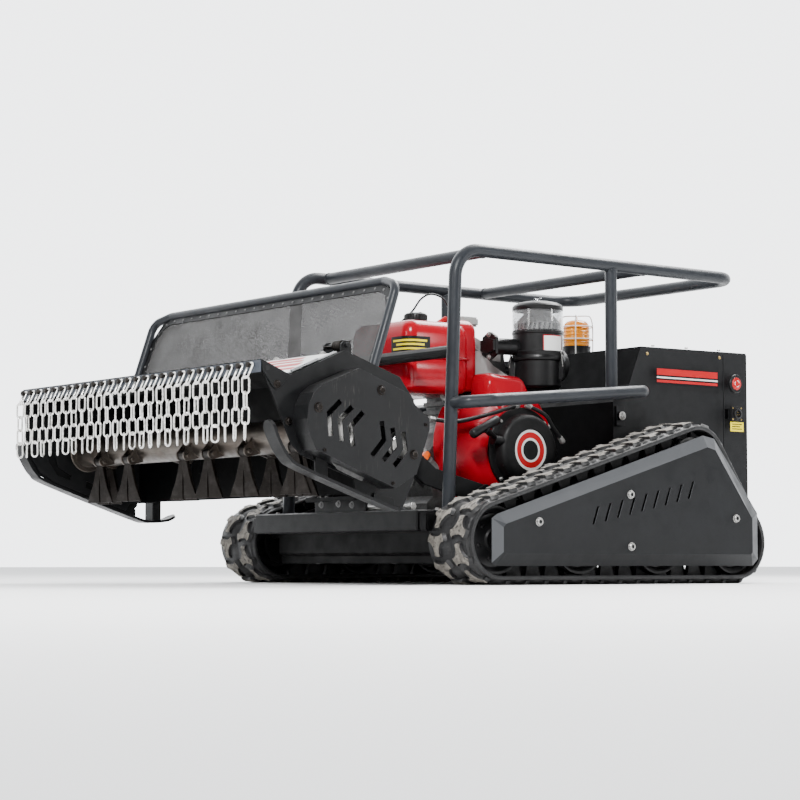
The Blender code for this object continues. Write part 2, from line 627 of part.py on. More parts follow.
def build_engine(palette):
    base = DECK_Z + GAP
    crank = (0.0, CRANK_Y, CRANK_Z)
    outline = [(-0.085, base), (-0.085, 0.240), (-0.060, 0.262), (-0.072, 0.300), (-0.072, 0.400),
               (-0.020, 0.455), (0.080, 0.498), (0.320, 0.498), (0.345, 0.440), (0.345, 0.262),
               (0.360, 0.240), (0.360, base)]
    case = prism("engine_crankcase", outline, -0.150, 0.150, palette["cast_metal"])
    neck = rod("neck", (0.110, -0.050, 0.290), (0.110, -0.098, 0.330), 0.014, None, sides=12)
    shaft = rod("shaft", (-0.140, *crank[1:]), (-0.205, *crank[1:]), 0.018, None, sides=16)
    boss = rod("boss", (-0.140, *crank[1:]), (-0.165, *crank[1:]), 0.060, None, sides=20)
    join(case, neck, shaft, boss)

    fins = []
    for k in range(6):
        z = 0.4983 + 0.026 * k
        fins += [(0.100, z), (0.100, z + 0.013), (0.112, z + 0.0135), (0.112, z + 0.0255)]
    left = [(y, z) for y, z in fins if z < 0.645]
    right = [(0.400 - y, z) for y, z in reversed(left)]
    block_outline = left + [(0.112, 0.650), (0.125, 0.735), (0.275, 0.735), (0.288, 0.650)] + right
    prism("cylinder_head", block_outline, -0.100, 0.080, palette["cast_metal"])

    shroud_x0, shroud_x1 = 0.1505, 0.232
    volute = arc((0.150, 0.415), 0.208, -58, 52, 10) + [(0.225, 0.632), (0.092, 0.638), (0.090, 0.562)]
    volute += arc((0.150, 0.415), 0.212, 147, 232, 8)
    shroud = prism("fan_shroud", volute, shroud_x0, shroud_x1, palette["red_paint"])
    inner = [(0.150 + (y - 0.150) * 0.955, 0.420 + (z - 0.420) * 0.955) for y, z in volute]
    pocket = prism("pocket", inner, shroud_x0 - 0.01, shroud_x1 - 0.003, None)
    eye = rod("eye", (0.2, *crank[1:]), (0.3, *crank[1:]), 0.088, None, sides=24)
    cut(shroud, pocket, eye)

    cover = [(shroud_x1 + GAP, 0.102), (shroud_x1 + GAP, 0.132), (0.242, 0.132), (0.246, 0.112),
             (0.272, 0.108), (0.282, 0.098), (0.282, 0.048), (0.278, 0.046), (0.278, 0.0),
             (0.273, 0.0), (0.273, 0.090), (0.262, 0.100)]
    recoil = turned("recoil_cover", cover, crank, palette["plastic"], sides=22, closed=True)
    spout = rod("spout", (0.262, CRANK_Y - 0.080, CRANK_Z + 0.022), (0.262, CRANK_Y - 0.136, CRANK_Z + 0.028),
                0.016, None, sides=12)
    join(recoil, spout)

    grip_a, grip_b = Vector((0.300, -0.032, 0.441)), Vector((0.300, 0.069, 0.490))
    stem_a = (grip_a + grip_b) / 2 + Vector((0, 0.004, -0.008))
    handle = rod("starter_handle", grip_a, grip_b, 0.013, palette["plastic"], sides=12)
    stem = rod("stem", stem_a, (0.276, CRANK_Y - 0.1385, CRANK_Z + 0.034), 0.008, None, sides=10)
    join(handle, stem)
    pivot_at(handle, (0.276, CRANK_Y - 0.1385, CRANK_Z + 0.034))

    tank = block("fuel_tank", (-0.145, -0.160, 0.574), (0.158, 0.084, 0.792), palette["red_paint"],
                 bevel=0.034, segments=3)
    seam = prism("seam", [(-0.153, 0.608), (-0.119, 0.566), (0.132, 0.566), (0.166, 0.608), (0.166, 0.758),
                          (0.132, 0.800), (-0.119, 0.800), (-0.153, 0.758)], 0.044, 0.052, None, axis="Y")
    lobe = block("lobe", (0.084, 0.020, 0.582), (0.1495, 0.119, 0.803), None, bevel=0.022, segments=2)
    neck = rod("neck", (*FILLER, 0.782), (*FILLER, 0.7985), 0.024, None, sides=16)
    join(tank, seam, lobe, neck)
    cap = turned("fuel_cap", [(0.0, 0.0), (0.0, 0.036), (0.020, 0.036), (0.026, 0.031), (0.026, 0.0)],
                 (*FILLER, 0.7989), palette["plastic"], axis="Z", sides=24)
    pivot_at(cap, (*FILLER, 0.7989))

    spot = (0.183, 0.330, 0.0)
    filter_can = turned("air_cleaner", [(0.598, 0.0), (0.598, 0.058), (0.606, 0.066), (0.685, 0.067),
                                        (0.688, 0.0805), (0.777, 0.0805), (0.777, 0.0)],
                        spot, palette["plastic"], axis="Z")
    elbow = rod("elbow", (0.165, 0.275, 0.728), (0.150, 0.165, 0.728), 0.026, None, sides=14)
    flange = prism("flange", [(0.118, 0.700), (0.150, 0.684), (0.182, 0.700), (0.182, 0.756),
                              (0.150, 0.772), (0.118, 0.756)], 0.160, 0.170, None, axis="Y")
    join(filter_can, elbow, flange)
    turned("precleaner_bowl", [(0.7775, 0.0), (0.7775, 0.078), (0.846, 0.078), (0.850, 0.0815),
                               (0.858, 0.0815), (0.873, 0.060), (0.878, 0.0)],
           spot, palette["clear"], axis="Z")

    turned("muffler", [(-0.250, 0.0), (-0.250, 0.056), (-0.240, 0.066), (-0.124, 0.066), (-0.114, 0.056),
                       (-0.114, 0.0)], (0.0, 0.215, 0.745), palette["heat_shield"])


# ---------------------------------------------------------------- deck

SIDE_PLATE = [(-1.000, 0.578), (-0.926, 0.548), (-0.754, 0.621), (-0.740, 0.619), (-0.568, 0.560),
              (-0.520, 0.500), (-0.520, 0.290), (-0.560, 0.205), (-0.640, 0.220), (-0.716, 0.252),
              (-0.722, 0.284), (-0.891, 0.341), (-0.921, 0.368), (-0.985, 0.500), (-1.012, 0.552)]
FAR_PLATE = SIDE_PLATE[:6] + [(-0.520, 0.262), (-0.560, 0.250), (-0.640, 0.246), (-0.655, 0.2245),
                              (-0.905, 0.3085), (-0.957, 0.338), (-0.985, 0.378), (-1.003, 0.430),
                              (-1.012, 0.552)]
FAR_SLOTS = [[(-0.930, 0.392), (-0.910, 0.399), (-0.894, 0.356), (-0.848, 0.330), (-0.853, 0.314),
              (-0.897, 0.329), (-0.927, 0.369)],
             [(-0.794, 0.313), (-0.672, 0.271), (-0.677, 0.253), (-0.799, 0.293)]]
GUARD_OUTLINE = [(-0.750, 0.570), (-0.713, 0.557), (-0.588, 0.512), (-0.560, 0.478), (-0.516, 0.447),
                 (-0.516, 0.418), (-0.560, 0.297), (-0.631, 0.258), (-0.887, 0.352), (-0.908, 0.392),
                 (-0.916, 0.432), (-0.912, 0.468), (-0.896, 0.500), (-0.868, 0.522)]
CHEVRONS = [((-0.810, 0.482), (-0.847, 0.449), (-0.841, 0.389)),
            ((-0.773, 0.468), (-0.812, 0.433), (-0.806, 0.377)),
            ((-0.738, 0.455), (-0.779, 0.415), (-0.769, 0.365)),
            ((-0.677, 0.434), (-0.669, 0.385), (-0.709, 0.342)),
            ((-0.641, 0.418), (-0.633, 0.371), (-0.671, 0.331)),
            ((-0.605, 0.408), (-0.597, 0.359), (-0.635, 0.317))]


def build_housing(palette):
    """Two side plates, the folded top, the back sheet, the chain bar and the shaft ears."""
    inner = SIDE_X - SIDE_T
    sheet = [(BAR_Y, 0.550), (BAR_Y, BAR_Z), (-0.926, 0.547), (-0.753, 0.620), (-0.656, 0.562),
             (-0.606, 0.470), (-0.602, 0.250)]
    housing = prism("deck_housing", folded(sheet, 0.004), -inner - 0.001, inner + 0.001,
                    palette["black_paint"])
    parts = []
    for s in (-1, 1):
        low, high = sorted((s * inner, s * SIDE_X))
        plate = prism("side", SIDE_PLATE if s > 0 else FAR_PLATE, low, high, None)
        if s < 0:
            cut(plate, *[prism("slot", slot, low - 0.01, high + 0.01, None) for slot in FAR_SLOTS])
        parts.append(plate)
        for x in (0.285, 0.335):
            low, high = sorted((s * (x - 0.005), s * (x + 0.005)))
            parts.append(prism("ear", [(-0.612, 0.330), (-0.612, 0.450), (-0.570, 0.405), (-0.558, 0.375),
                                       (-0.570, 0.345)], low, high, None))
    join(housing, *parts)
    cup = turned("bearing_cup", [(0.0, 0.034), (0.0, 0.060), (-0.030, 0.060), (-0.050, 0.045),
                                 (-0.070, 0.045), (-0.070, 0.0), (-0.064, 0.0), (-0.064, 0.034)],
                 (-SIDE_X + 0.001, ROTOR_Y, ROTOR_Z), None, sides=16, closed=True)
    holes = [rod("hole", (-SIDE_X - 0.020, ROTOR_Y, ROTOR_Z), (SIDE_X + 0.1, ROTOR_Y, ROTOR_Z), 0.030, None,
                 sides=16),
             rod("hole", (-0.9, FLOAT_Y, FLOAT_Z), (0.9, FLOAT_Y, FLOAT_Z), FLOAT_R + 0.0018, None, sides=14)]
    return join(cut(housing, *holes), cup)


def build_belt_guard(palette):
    """A shallow pan over the deck's belt, cut with two sets of chevron slots."""
    root, face = SIDE_X + GAP, SIDE_X + 0.063
    pan = prism("deck_belt_guard", GUARD_OUTLINE, root, face, palette["black_paint"])
    middle = Vector((-0.716, 0.415))
    inner = [tuple(middle + (Vector(p) - middle) * 0.978) for p in GUARD_OUTLINE]
    cutters = [prism("pocket", inner, root - 0.01, face - SHEET, None)]
    for points in CHEVRONS:
        cutters.append(prism("chevron", wide_line(points, 0.0075), face - 0.02, face + 0.01, None))
    cut(pan, *cutters)
    bolts = [rod("bolt", (face - 0.001, y, z), (face + 0.006, y, z), 0.010, None, sides=6)
             for y, z in ((-0.881, 0.462), (-0.678, 0.516), (-0.569, 0.349))]
    join(pan, *bolts)


def wide_line(points, half):
    """The outline of a three-point line, widened by half on each side."""
    a, b, c = [Vector(p) for p in points]
    first, second = (b - a).normalized(), (c - b).normalized()
    n1, n2 = Vector((-first.y, first.x)), Vector((-second.y, second.x))
    mid = (n1 + n2).normalized()
    reach = half / mid.dot(n1)
    left = [a + n1 * half, b + mid * reach, c + n2 * half]
    right = [c - n2 * half, b - mid * reach, a - n1 * half]
    return [tuple(p) for p in left + right]


def build_rotor(palette):
    centre = (0.0, ROTOR_Y, ROTOR_Z)
    half = SIDE_X - SIDE_T - 0.012
    rotor = turned("rotor", [(-half - 0.060, 0.0), (-half - 0.060, 0.018), (-half, 0.018), (-half, 0.060),
                             (-half + 0.006, 0.060), (-half + 0.006, ROTOR_R), (half - 0.006, ROTOR_R),
                             (half - 0.006, 0.060), (half, 0.060), (half, 0.018), (0.664, 0.018),
                             (0.664, 0.052), (0.667, 0.055), (0.672, 0.049), (0.684, 0.049),
                             (0.689, 0.055), (0.692, 0.052), (0.692, 0.0)],
                   centre, palette["bare_steel"], sides=14)
    lugs = []
    for x, facing in FLAIL_PINS:
        pin = Vector((ROTOR_Y + facing * PIN_Y, ROTOR_Z - PIN_DROP))
        out = (pin - Vector((ROTOR_Y, ROTOR_Z))).normalized()
        flat = Vector((-out.y, out.x))
        root = Vector((ROTOR_Y, ROTOR_Z)) + out * 0.035
        for edge in (-1, 1):
            low = x + edge * 0.0175 - 0.003
            lugs.append(prism("lug", [tuple(root + flat * 0.016), tuple(pin + out * 0.012 + flat * 0.008),
                                      tuple(pin + out * 0.012 - flat * 0.008),
                                      tuple(root - flat * 0.016)], low, low + 0.006, None))
        lugs.append(rod("pin", (x - 0.0225, *pin), (x + 0.0225, *pin), 0.005, None, sides=8))
    return pivot_at(join(rotor, *lugs), centre)


def build_flails(palette):
    """Y flails: a forked blade hung on its pin, its two legs splaying to each side."""
    for number, (x, facing) in enumerate(FLAIL_PINS, 1):
        y, z = ROTOR_Y + facing * PIN_Y, ROTOR_Z - PIN_DROP
        eye = turned(f"flail_{number}", [(-0.0135, 0.0062), (-0.0135, 0.0130), (0.0135, 0.0130),
                                         (0.0135, 0.0062)], (x, y, z), palette["dark_steel"], sides=12,
                     closed=True)
        legs = []
        for s in (-1, 1):
            points = [(x + s * 0.002, z - 0.010), (x + s * 0.012, z - 0.010), (x + s * 0.014, z - 0.055),
                      (x + s * 0.040, z - FLAIL_LENGTH), (x + s * 0.028, z - FLAIL_LENGTH),
                      (x + s * 0.006, z - 0.060)]
            legs.append(prism("leg", points, y - 0.006, y + 0.006, None, axis="Y"))
        legs.append(block("web", (x - 0.010, y - 0.006, z - 0.040), (x + 0.010, y + 0.006, z - 0.0085), None))
        flail = join(eye, *legs)
        pivot_at(flail, (x, y, z))


def build_deck_parts(palette):
    steel = palette["galvanised"]
    curtain = prism("chain_curtain", [(CURTAIN_Y - 0.006, 0.388), (CURTAIN_Y + 0.006, 0.388),
                                      (CURTAIN_Y + 0.006, 0.583), (CURTAIN_Y - 0.006, 0.583)],
                    -0.636, 0.636, steel)
    pivot_at(curtain, (0.0, CURTAIN_Y, 0.580))

    jack = turned("jackshaft", [(-0.352, 0.0), (-0.352, FLOAT_R), (0.664, FLOAT_R), (0.664, 0.038),
                                (0.667, 0.041), (0.672, 0.035), (0.684, 0.035), (0.689, 0.041),
                                (0.692, 0.038), (0.692, 0.0)],
                  (0.0, FLOAT_Y, FLOAT_Z), palette["bare_steel"], sides=18)
    pivot_at(jack, (0.0, FLOAT_Y, FLOAT_Z))

    a, b = Vector((ROTOR_Y, ROTOR_Z)), Vector((FLOAT_Y, FLOAT_Z))
    slope = math.degrees(math.atan2(b.y - a.y, b.x - a.x))

    def loop(extra):
        return (arc(a, 0.0503 + extra, slope + 86, slope + 274, 10)
                + arc(b, 0.0363 + extra, slope - 86, slope + 86, 10))

    belt = prism("deck_drive_belt", loop(0.0085), 0.6725, 0.6835, palette["rubber"])
    cut(belt, prism("inside", loop(0.0), 0.66, 0.70, None))

    for side, label in ((1, "left"), (-1, "right")):
        path = [(-1.010, 0.430), (-0.992, 0.374), (-0.962, 0.332), (-0.910, 0.303)]
        if side > 0:
            path += [(-0.640, 0.2115), (-0.600, 0.205), (-0.572, 0.207)]
        else:
            path += [(-0.620, 0.205), (-0.560, 0.192), (-0.500, 0.196), (-0.460, 0.214)]
        low, high = sorted((side * (SIDE_X + GAP), side * (SIDE_X + 0.050)))
        skid = prism(f"{label}_skid", folded(path, 0.008), low, high, palette["black_paint"])
        low, high = sorted((side * (SIDE_X + GAP), side * (SIDE_X + 0.0053)))
        tabs = [prism("tab", [(-0.850, 0.275), (-0.850, 0.335), (-0.810, 0.320), (-0.810, 0.262)],
                      low, high, None),
                prism("tab", [(-0.660, 0.214), (-0.660, 0.245), (-0.590, 0.232), (-0.590, 0.194)],
                      low, high, None)]
        if side < 0:
            tabs.append(prism("foot", [(-0.553, 0.190), (-0.523, 0.190), (-0.523, 0.262), (-0.553, 0.262)],
                              low, high, None))
        join(skid, *tabs)

    lean = math.tan(GUARD_LEAN)
    foot_z, top_z = 0.565, 0.832
    foot_y = -0.6495
    hoop_x = SIDE_X - SIDE_T - 0.0130
    corners = [(hoop_x, foot_y, foot_z), (hoop_x, foot_y + lean * (top_z - foot_z) * 0.82, top_z - 0.020),
               (hoop_x - 0.075, foot_y + lean * (top_z - foot_z), top_z)]
    corners += [(-x, y, z) for x, y, z in reversed(corners)]
    tube("stone_guard_hoop", fillet(corners, 0.040, steps=4), 0.0125, palette["tube_paint"], sides=12)
    low_z, high_z = 0.628, 0.798
    low_y = foot_y + lean * (low_z - foot_z)
    high_y = foot_y + lean * (high_z - foot_z)
    prism("stone_guard_mesh", [(low_y, low_z), (low_y + 0.002, low_z), (high_y + 0.002, high_z),
                               (high_y, high_z)], -0.600, 0.600, palette["mesh"])


def build_lift(palette):
    """The two bent arms with their cross tube, and the electric actuator that holds them up."""
    plate = [(0.020, 0.238), (0.028, 0.266), (0.012, 0.290), (-0.182, 0.336), (-0.268, 0.400),
             (-0.400, 0.445), (-0.560, 0.418)]
    plate += arc((FLOAT_Y, FLOAT_Z), FLOAT_R + 0.0075, 105, 285, 6)
    plate += [(-0.430, 0.376), (-0.318, 0.358), (-0.222, 0.290), (-0.030, 0.240), (-0.004, 0.231)]
    arms = prism("lift_arms", plate, ARM_X - 0.006, ARM_X + 0.006, palette["black_paint"])
    parts = [prism("right_arm", plate, -ARM_X - 0.006, -ARM_X + 0.006, None),
             rod("tie", (-ARM_X, -0.300, 0.400), (ARM_X, -0.300, 0.400), 0.017, None, sides=12)]
    for x in (-0.024, 0.024):
        parts.append(prism("ear", [(-0.290, 0.390), (-0.295, 0.412), (-0.395, 0.434), (-0.414, 0.424),
                                   (-0.410, 0.408)], x - 0.003, x + 0.003, None))
    parts.append(rod("pin", (-0.028, *ACT_PIN), (0.028, *ACT_PIN), 0.005, None, sides=12))
    join(arms, *parts)
    holes = [rod("hole", (-0.4, LIFT_Y, LIFT_Z), (0.4, LIFT_Y, LIFT_Z), 0.0140, None, sides=14),
             rod("hole", (-0.4, FLOAT_Y, FLOAT_Z), (0.4, FLOAT_Y, FLOAT_Z), FLOAT_R + 0.0018, None,
                 sides=14)]
    pivot_at(cut(arms, *holes), (0.0, LIFT_Y, LIFT_Z))

    top, pin = Vector((0.0, *ACT_TOP)), Vector((0.0, *ACT_PIN))
    down = (pin - top).normalized()
    body = rod("lift_actuator_body", top - down * 0.010, top + down * 0.205, 0.0175, palette["aluminium"],
               sides=20)
    bore = rod("bore", top + down * 0.028, top + down * 0.215, 0.0105, None, sides=16)
    eye = rod("eye", (-0.05, *ACT_TOP), (0.05, *ACT_TOP), 0.0066, None, sides=12)
    pivot_at(cut(body, bore, eye), top)
    slider = rod("lift_actuator_rod", top + down * 0.034, pin - down * 0.008, 0.0095, palette["chrome"],
                 sides=16)
    end = block("end", (-0.016, ACT_PIN[0] - 0.014, ACT_PIN[1] - 0.014),
                (0.016, ACT_PIN[0] + 0.014, ACT_PIN[1] + 0.014), None)
    open_eye = rod("eye", (-0.05, *ACT_PIN), (0.05, *ACT_PIN), 0.0068, None, sides=12)
    pivot_at(cut(join(slider, end), open_eye), pin)


def build_deck(palette):
    build_housing(palette)
    build_belt_guard(palette)
    build_rotor(palette)
    build_flails(palette)
    build_deck_parts(palette)
    build_lift(palette)


def main():
    clear_scene()
    palette = {
        "rubber": paint("rubber", (0.035, 0.035, 0.036), 0.80),
        "black_steel": paint("black_steel", (0.030, 0.031, 0.033), 0.55),
        "black_paint": paint("black_paint", (0.045, 0.048, 0.052), 0.45),
        "tube_paint": paint("tube_paint", (0.040, 0.045, 0.052), 0.38),
        "cabinet_paint": paint("cabinet_paint", (0.030, 0.030, 0.032), 0.55),
        "red_paint": paint("red_paint", (0.620, 0.022, 0.030), 0.25),
        "signal_red": paint("signal_red", (0.700, 0.020, 0.018), 0.35),
        "plastic": paint("plastic", (0.020, 0.020, 0.021), 0.50),
        "amber": paint("amber", (0.950, 0.360, 0.020), 0.20, alpha=0.8),
        "clear": paint("clear", (0.850, 0.860, 0.860), 0.10, alpha=0.35),
        "bare_steel": paint("bare_steel", (0.360, 0.330, 0.300), 0.45, 1.0),
        "dark_steel": paint("dark_steel", (0.120, 0.090, 0.070), 0.60, 1.0),
        "galvanised": paint("galvanised", (0.700, 0.700, 0.690), 0.35, 1.0),
        "chrome": paint("chrome", (0.750, 0.750, 0.750), 0.15, 1.0),
        "aluminium": paint("aluminium", (0.550, 0.560, 0.570), 0.40, 1.0),
        "cast_metal": paint("cast_metal", (0.420, 0.420, 0.410), 0.55, 1.0),
        "heat_shield": paint("heat_shield", (0.600, 0.600, 0.600), 0.40, 1.0),
        "mesh": paint("mesh", (0.110, 0.110, 0.115), 0.50, 0.6),
    }
    build_tracks(palette)
    build_chassis(palette)
    build_cage(palette)
    build_cabinet(palette)
    build_engine(palette)
    build_deck(palette)


main()
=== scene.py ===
"""Looks of the tracked flail mower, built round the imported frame.

Metres, in the frame's own coordinates: the machine faces -Y, +X is its left side, +Z is up."""

import json
import math
import random

import bmesh
import bpy
from mathutils import Matrix, Vector


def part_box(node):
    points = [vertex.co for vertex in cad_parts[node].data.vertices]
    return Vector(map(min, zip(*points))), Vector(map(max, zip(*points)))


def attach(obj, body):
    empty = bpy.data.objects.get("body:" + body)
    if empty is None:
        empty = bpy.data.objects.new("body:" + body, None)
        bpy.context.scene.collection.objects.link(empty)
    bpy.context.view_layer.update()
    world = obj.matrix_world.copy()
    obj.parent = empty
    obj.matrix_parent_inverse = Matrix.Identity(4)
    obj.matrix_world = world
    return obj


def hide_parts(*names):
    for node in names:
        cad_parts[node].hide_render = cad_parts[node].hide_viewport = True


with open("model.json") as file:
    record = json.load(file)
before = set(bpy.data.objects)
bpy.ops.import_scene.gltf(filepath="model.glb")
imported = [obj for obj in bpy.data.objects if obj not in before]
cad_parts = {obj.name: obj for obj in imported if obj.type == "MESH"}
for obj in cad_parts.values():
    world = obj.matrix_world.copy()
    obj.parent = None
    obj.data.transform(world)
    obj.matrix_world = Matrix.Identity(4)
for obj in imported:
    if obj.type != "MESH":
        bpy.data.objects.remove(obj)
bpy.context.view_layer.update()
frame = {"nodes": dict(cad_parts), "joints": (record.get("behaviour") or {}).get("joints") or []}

JOINTS = {joint["name"]: joint for joint in frame["joints"]}
TUBE_R = 0.019
# the cage's side frames, its roof, and its front and rear posts
CAGE_X, CAGE_TOP = 0.402, 0.973
FRONT_POST_Y, REAR_POST_Y = -0.205, 0.437
SIDES = (("left", 1), ("right", -1))


def make_camera():
    data = bpy.data.cameras.new("view")
    data.lens = 99.18
    data.sensor_width = 36.0
    camera = bpy.data.objects.new("view", data)
    bpy.context.scene.collection.objects.link(camera)
    camera.location = (5.3312, -4.171, 0.0593)
    camera.rotation_euler = (math.radians(94.25), 0.0, math.radians(52.43))
    bpy.context.scene.camera = camera


make_camera()


# ---------------------------------------------------------------- mesh helpers

def pivot(joint):
    return Vector(JOINTS[joint]["pos_m"])


def to_object(name, bm, smooth=True, angle=35):
    bm.normal_update()
    bmesh.ops.recalc_face_normals(bm, faces=bm.faces)
    mesh = bpy.data.meshes.new(name)
    bm.to_mesh(mesh)
    bm.free()
    item = bpy.data.objects.new(name, mesh)
    bpy.context.scene.collection.objects.link(item)
    if smooth:
        mesh.shade_smooth()
        mesh.set_sharp_from_angle(angle=math.radians(angle))
    return item


def join_rings(bm, rings, around=False):
    """Walls between neighbouring rings of vertices, closed by a cap at each end or round to the first."""
    for near, far in zip(rings, rings[1:] + rings[:1] if around else rings[1:]):
        for i in range(len(near)):
            j = (i + 1) % len(near)
            bm.faces.new((near[i], near[j], far[j], far[i]))
    if not around:
        bm.faces.new(rings[0])
        bm.faces.new(rings[-1])


def mirrored(half):
    """A profile whose second half repeats the first one backwards, on the other side of zero."""
    return half + [(-place, radius) for place, radius in reversed(half)]


def circle(count, offset=0.0):
    """Angles spread evenly round a circle."""
    return [2 * math.pi * (k + offset) / count for k in range(count)]


def outward(angle):
    """The level direction at an angle round Z."""
    return Vector((math.cos(angle), math.sin(angle), 0))


AXES = {"X": (1, 2, 0), "Y": (0, 2, 1), "Z": (0, 1, 2)}


def add_prism(bm, outline, low, high, axis="X"):
    """A flat outline in the plane across the axis, extruded from low to high along it."""
    a, b, along = AXES[axis]
    rings = []
    for level in (low, high):
        ring = []
        for u, v in outline:
            point = [0.0, 0.0, 0.0]
            point[a], point[b], point[along] = u, v, level
            ring.append(bm.verts.new(point))
        rings.append(ring)
    join_rings(bm, rings)


def add_turned(bm, profile, centre, axis="X", sides=32, closed=False, spin=None):
    """A turned shape: profile points are (place along the axis, radius) about the centre."""
    turn = Vector(axis_vector(axis) if spin is None else spin).to_track_quat("Z", "Y").to_matrix()
    centre = Vector(centre)
    rings = []
    for place, radius in profile:
        count = sides if radius > 0 else 1
        rings.append([bm.verts.new(centre + turn @ (outward(t) * radius + Vector((0, 0, place))))
                      for t in circle(sides)[:count]])
    pairs = list(zip(rings, rings[1:]))
    if closed:
        pairs.append((rings[-1], rings[0]))
    for near, far in pairs:
        for i in range(sides):
            j = (i + 1) % sides
            corners = [near[i % len(near)], near[j % len(near)], far[j % len(far)], far[i % len(far)]]
            distinct = [v for k, v in enumerate(corners) if v not in corners[:k]]
            if len(distinct) > 2:
                bm.faces.new(distinct)
    if not closed:
        for ring in (rings[0], rings[-1]):
            if len(ring) > 1:
                bm.faces.new(ring)


def axis_vector(axis):
    return {"X": (1, 0, 0), "Y": (0, 1, 0), "Z": (0, 0, 1)}[axis]


def add_rod(bm, start, end, radius, sides=16, end_radius=None, chamfer=0.0):
    start, end = Vector(start), Vector(end)
    length = (end - start).length
    last = radius if end_radius is None else end_radius
    profile = [(0.0, radius - chamfer), (chamfer, radius), (length - chamfer, last), (length, last - chamfer)]
    if not chamfer:
        profile = [profile[0], profile[-1]]
    add_turned(bm, profile, start, sides=sides, spin=end - start)


def add_box(bm, low, high, bevel=0.0, segments=2):
    made = bmesh.ops.create_cube(bm, size=1.0)["verts"]
    low, high = Vector(low), Vector(high)
    for vert in made:
        vert.co = Vector([vert.co[k] * (high - low)[k] + (high + low)[k] / 2 for k in range(3)])
    if bevel:
        edges = list({edge for vert in made for edge in vert.link_edges})
        bmesh.ops.bevel(bm, geom=edges, offset=bevel, segments=segments, affect="EDGES")


def fillet(corners, bend, steps=8):
    """Rounds each inner corner of a path with an arc of the bend radius."""
    corners = [Vector(c) for c in corners]
    path = [corners[0]]
    for before, corner, after in zip(corners, corners[1:], corners[2:]):
        come, go = (before - corner).normalized(), (after - corner).normalized()
        half = come.angle(go) / 2
        reach = bend / math.tan(half)
        middle = corner + (come + go).normalized() * (bend / math.sin(half))
        first = corner + come * reach - middle
        spin = first.cross(corner + go * reach - middle).normalized()
        for k in range(steps + 1):
            path.append(middle + Matrix.Rotation((math.pi - 2 * half) * k / steps, 3, spin) @ first)
    path.append(corners[-1])
    return path


def smooth_path(points, steps=8):
    """A Catmull-Rom curve through the points."""
    points = [Vector(p) for p in points]
    padded = [points[0] * 2 - points[1]] + points + [points[-1] * 2 - points[-2]]
    path = []
    for a, b, c, d in zip(padded, padded[1:], padded[2:], padded[3:]):
        for k in range(steps):
            t = k / steps
            path.append(0.5 * (2 * b + (c - a) * t + (2 * a - 5 * b + 4 * c - d) * t * t
                               + (3 * b - a - 3 * c + d) * t ** 3))
    return path + [points[-1]]


def add_tube(bm, path, radius, sides=20, closed=False):
    """A round bar along a path, its section carried round each bend without twist."""
    path = [Vector(p) for p in path]
    last = len(path) - 1
    heading = (path[1] - path[-1 if closed else 0]).normalized()
    side = heading.orthogonal().normalized()
    rings = []
    for k, point in enumerate(path):
        before = path[k - 1] if closed or k else path[0]
        after = path[(k + 1) % (last + 1)] if closed else path[min(k + 1, last)]
        turn = heading.rotation_difference((after - before).normalized())
        heading = (after - before).normalized()
        side = turn @ side
        up = heading.cross(side)
        rings.append([bm.verts.new(point + radius * (math.cos(t) * side + math.sin(t) * up))
                      for t in circle(sides)])
    join_rings(bm, rings, around=closed)


def add_bolt(bm, place, out, radius=0.007, washer=0.011, height=0.005, sides=6):
    """A hexagon or round bolt head on its washer."""
    out = Vector(out).normalized()
    place = Vector(place)
    add_turned(bm, [(0.0, washer), (0.0012, washer), (0.0016, washer - 0.0006)], place, sides=20, spin=out)
    add_turned(bm, [(0.0014, radius), (height, radius), (height + 0.001, radius * 0.82)], place, sides=sides,
               spin=out)


def add_socket_screw(bm, place, out, radius=0.007, height=0.006):
    """A round screw head with a hollow socket."""
    add_turned(bm, [(0.0, radius), (height - 0.001, radius), (height, radius * 0.88), (height, radius * 0.5),
                    (height * 0.4, radius * 0.48), (height * 0.4, 0.0)], place, sides=18, spin=out)


# the material slot that each look normally fills
SLOT_OF = {
    "alu": "bare_steel", "amber": "amber_lens", "brass": "bare_steel", "cabinet": "cabinet_paint",
    "cast": "bare_steel", "chain": "galvanised_chain", "chrome": "bare_steel", "clear": "clear_bowl",
    "cowl": "bare_steel", "forged": "dark_steel", "frame": "black_paint", "grey": "bare_steel",
    "hose": "dark_steel", "mesh": "guard_mesh", "orange": "black_plastic", "paint": "black_paint",
    "pale": "black_plastic", "plastic": "black_plastic", "rail": "tube_paint", "red": "red_paint",
    "red_film": "signal_red", "rubber": "track_rubber", "signal_red": "signal_red",
    "silver": "bare_steel", "starter": "black_plastic", "steel": "heat_shield", "tube": "tube_paint",
    "white": "cabinet_paint", "yellow": "signal_red",
}


def piece(name, bm, look, *replaced, body="chassis", slot=None, **finish):
    """Turns a mesh into an object with its look and its body, and hides the nodes it stands for."""
    item = to_object(name, bm, **finish)
    item.data.materials.append(LOOK[look])
    slot = slot or SLOT_OF[look]
    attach(item, body)
    if replaced:
        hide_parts(*replaced)
    return item


def arc(centre, radius, start, end, steps):
    """Points on an arc, angles in degrees."""
    return [(centre[0] + radius * math.cos(math.radians(start + (end - start) * k / steps)),
             centre[1] + radius * math.sin(math.radians(start + (end - start) * k / steps)))
            for k in range(steps + 1)]


# ---------------------------------------------------------------- materials

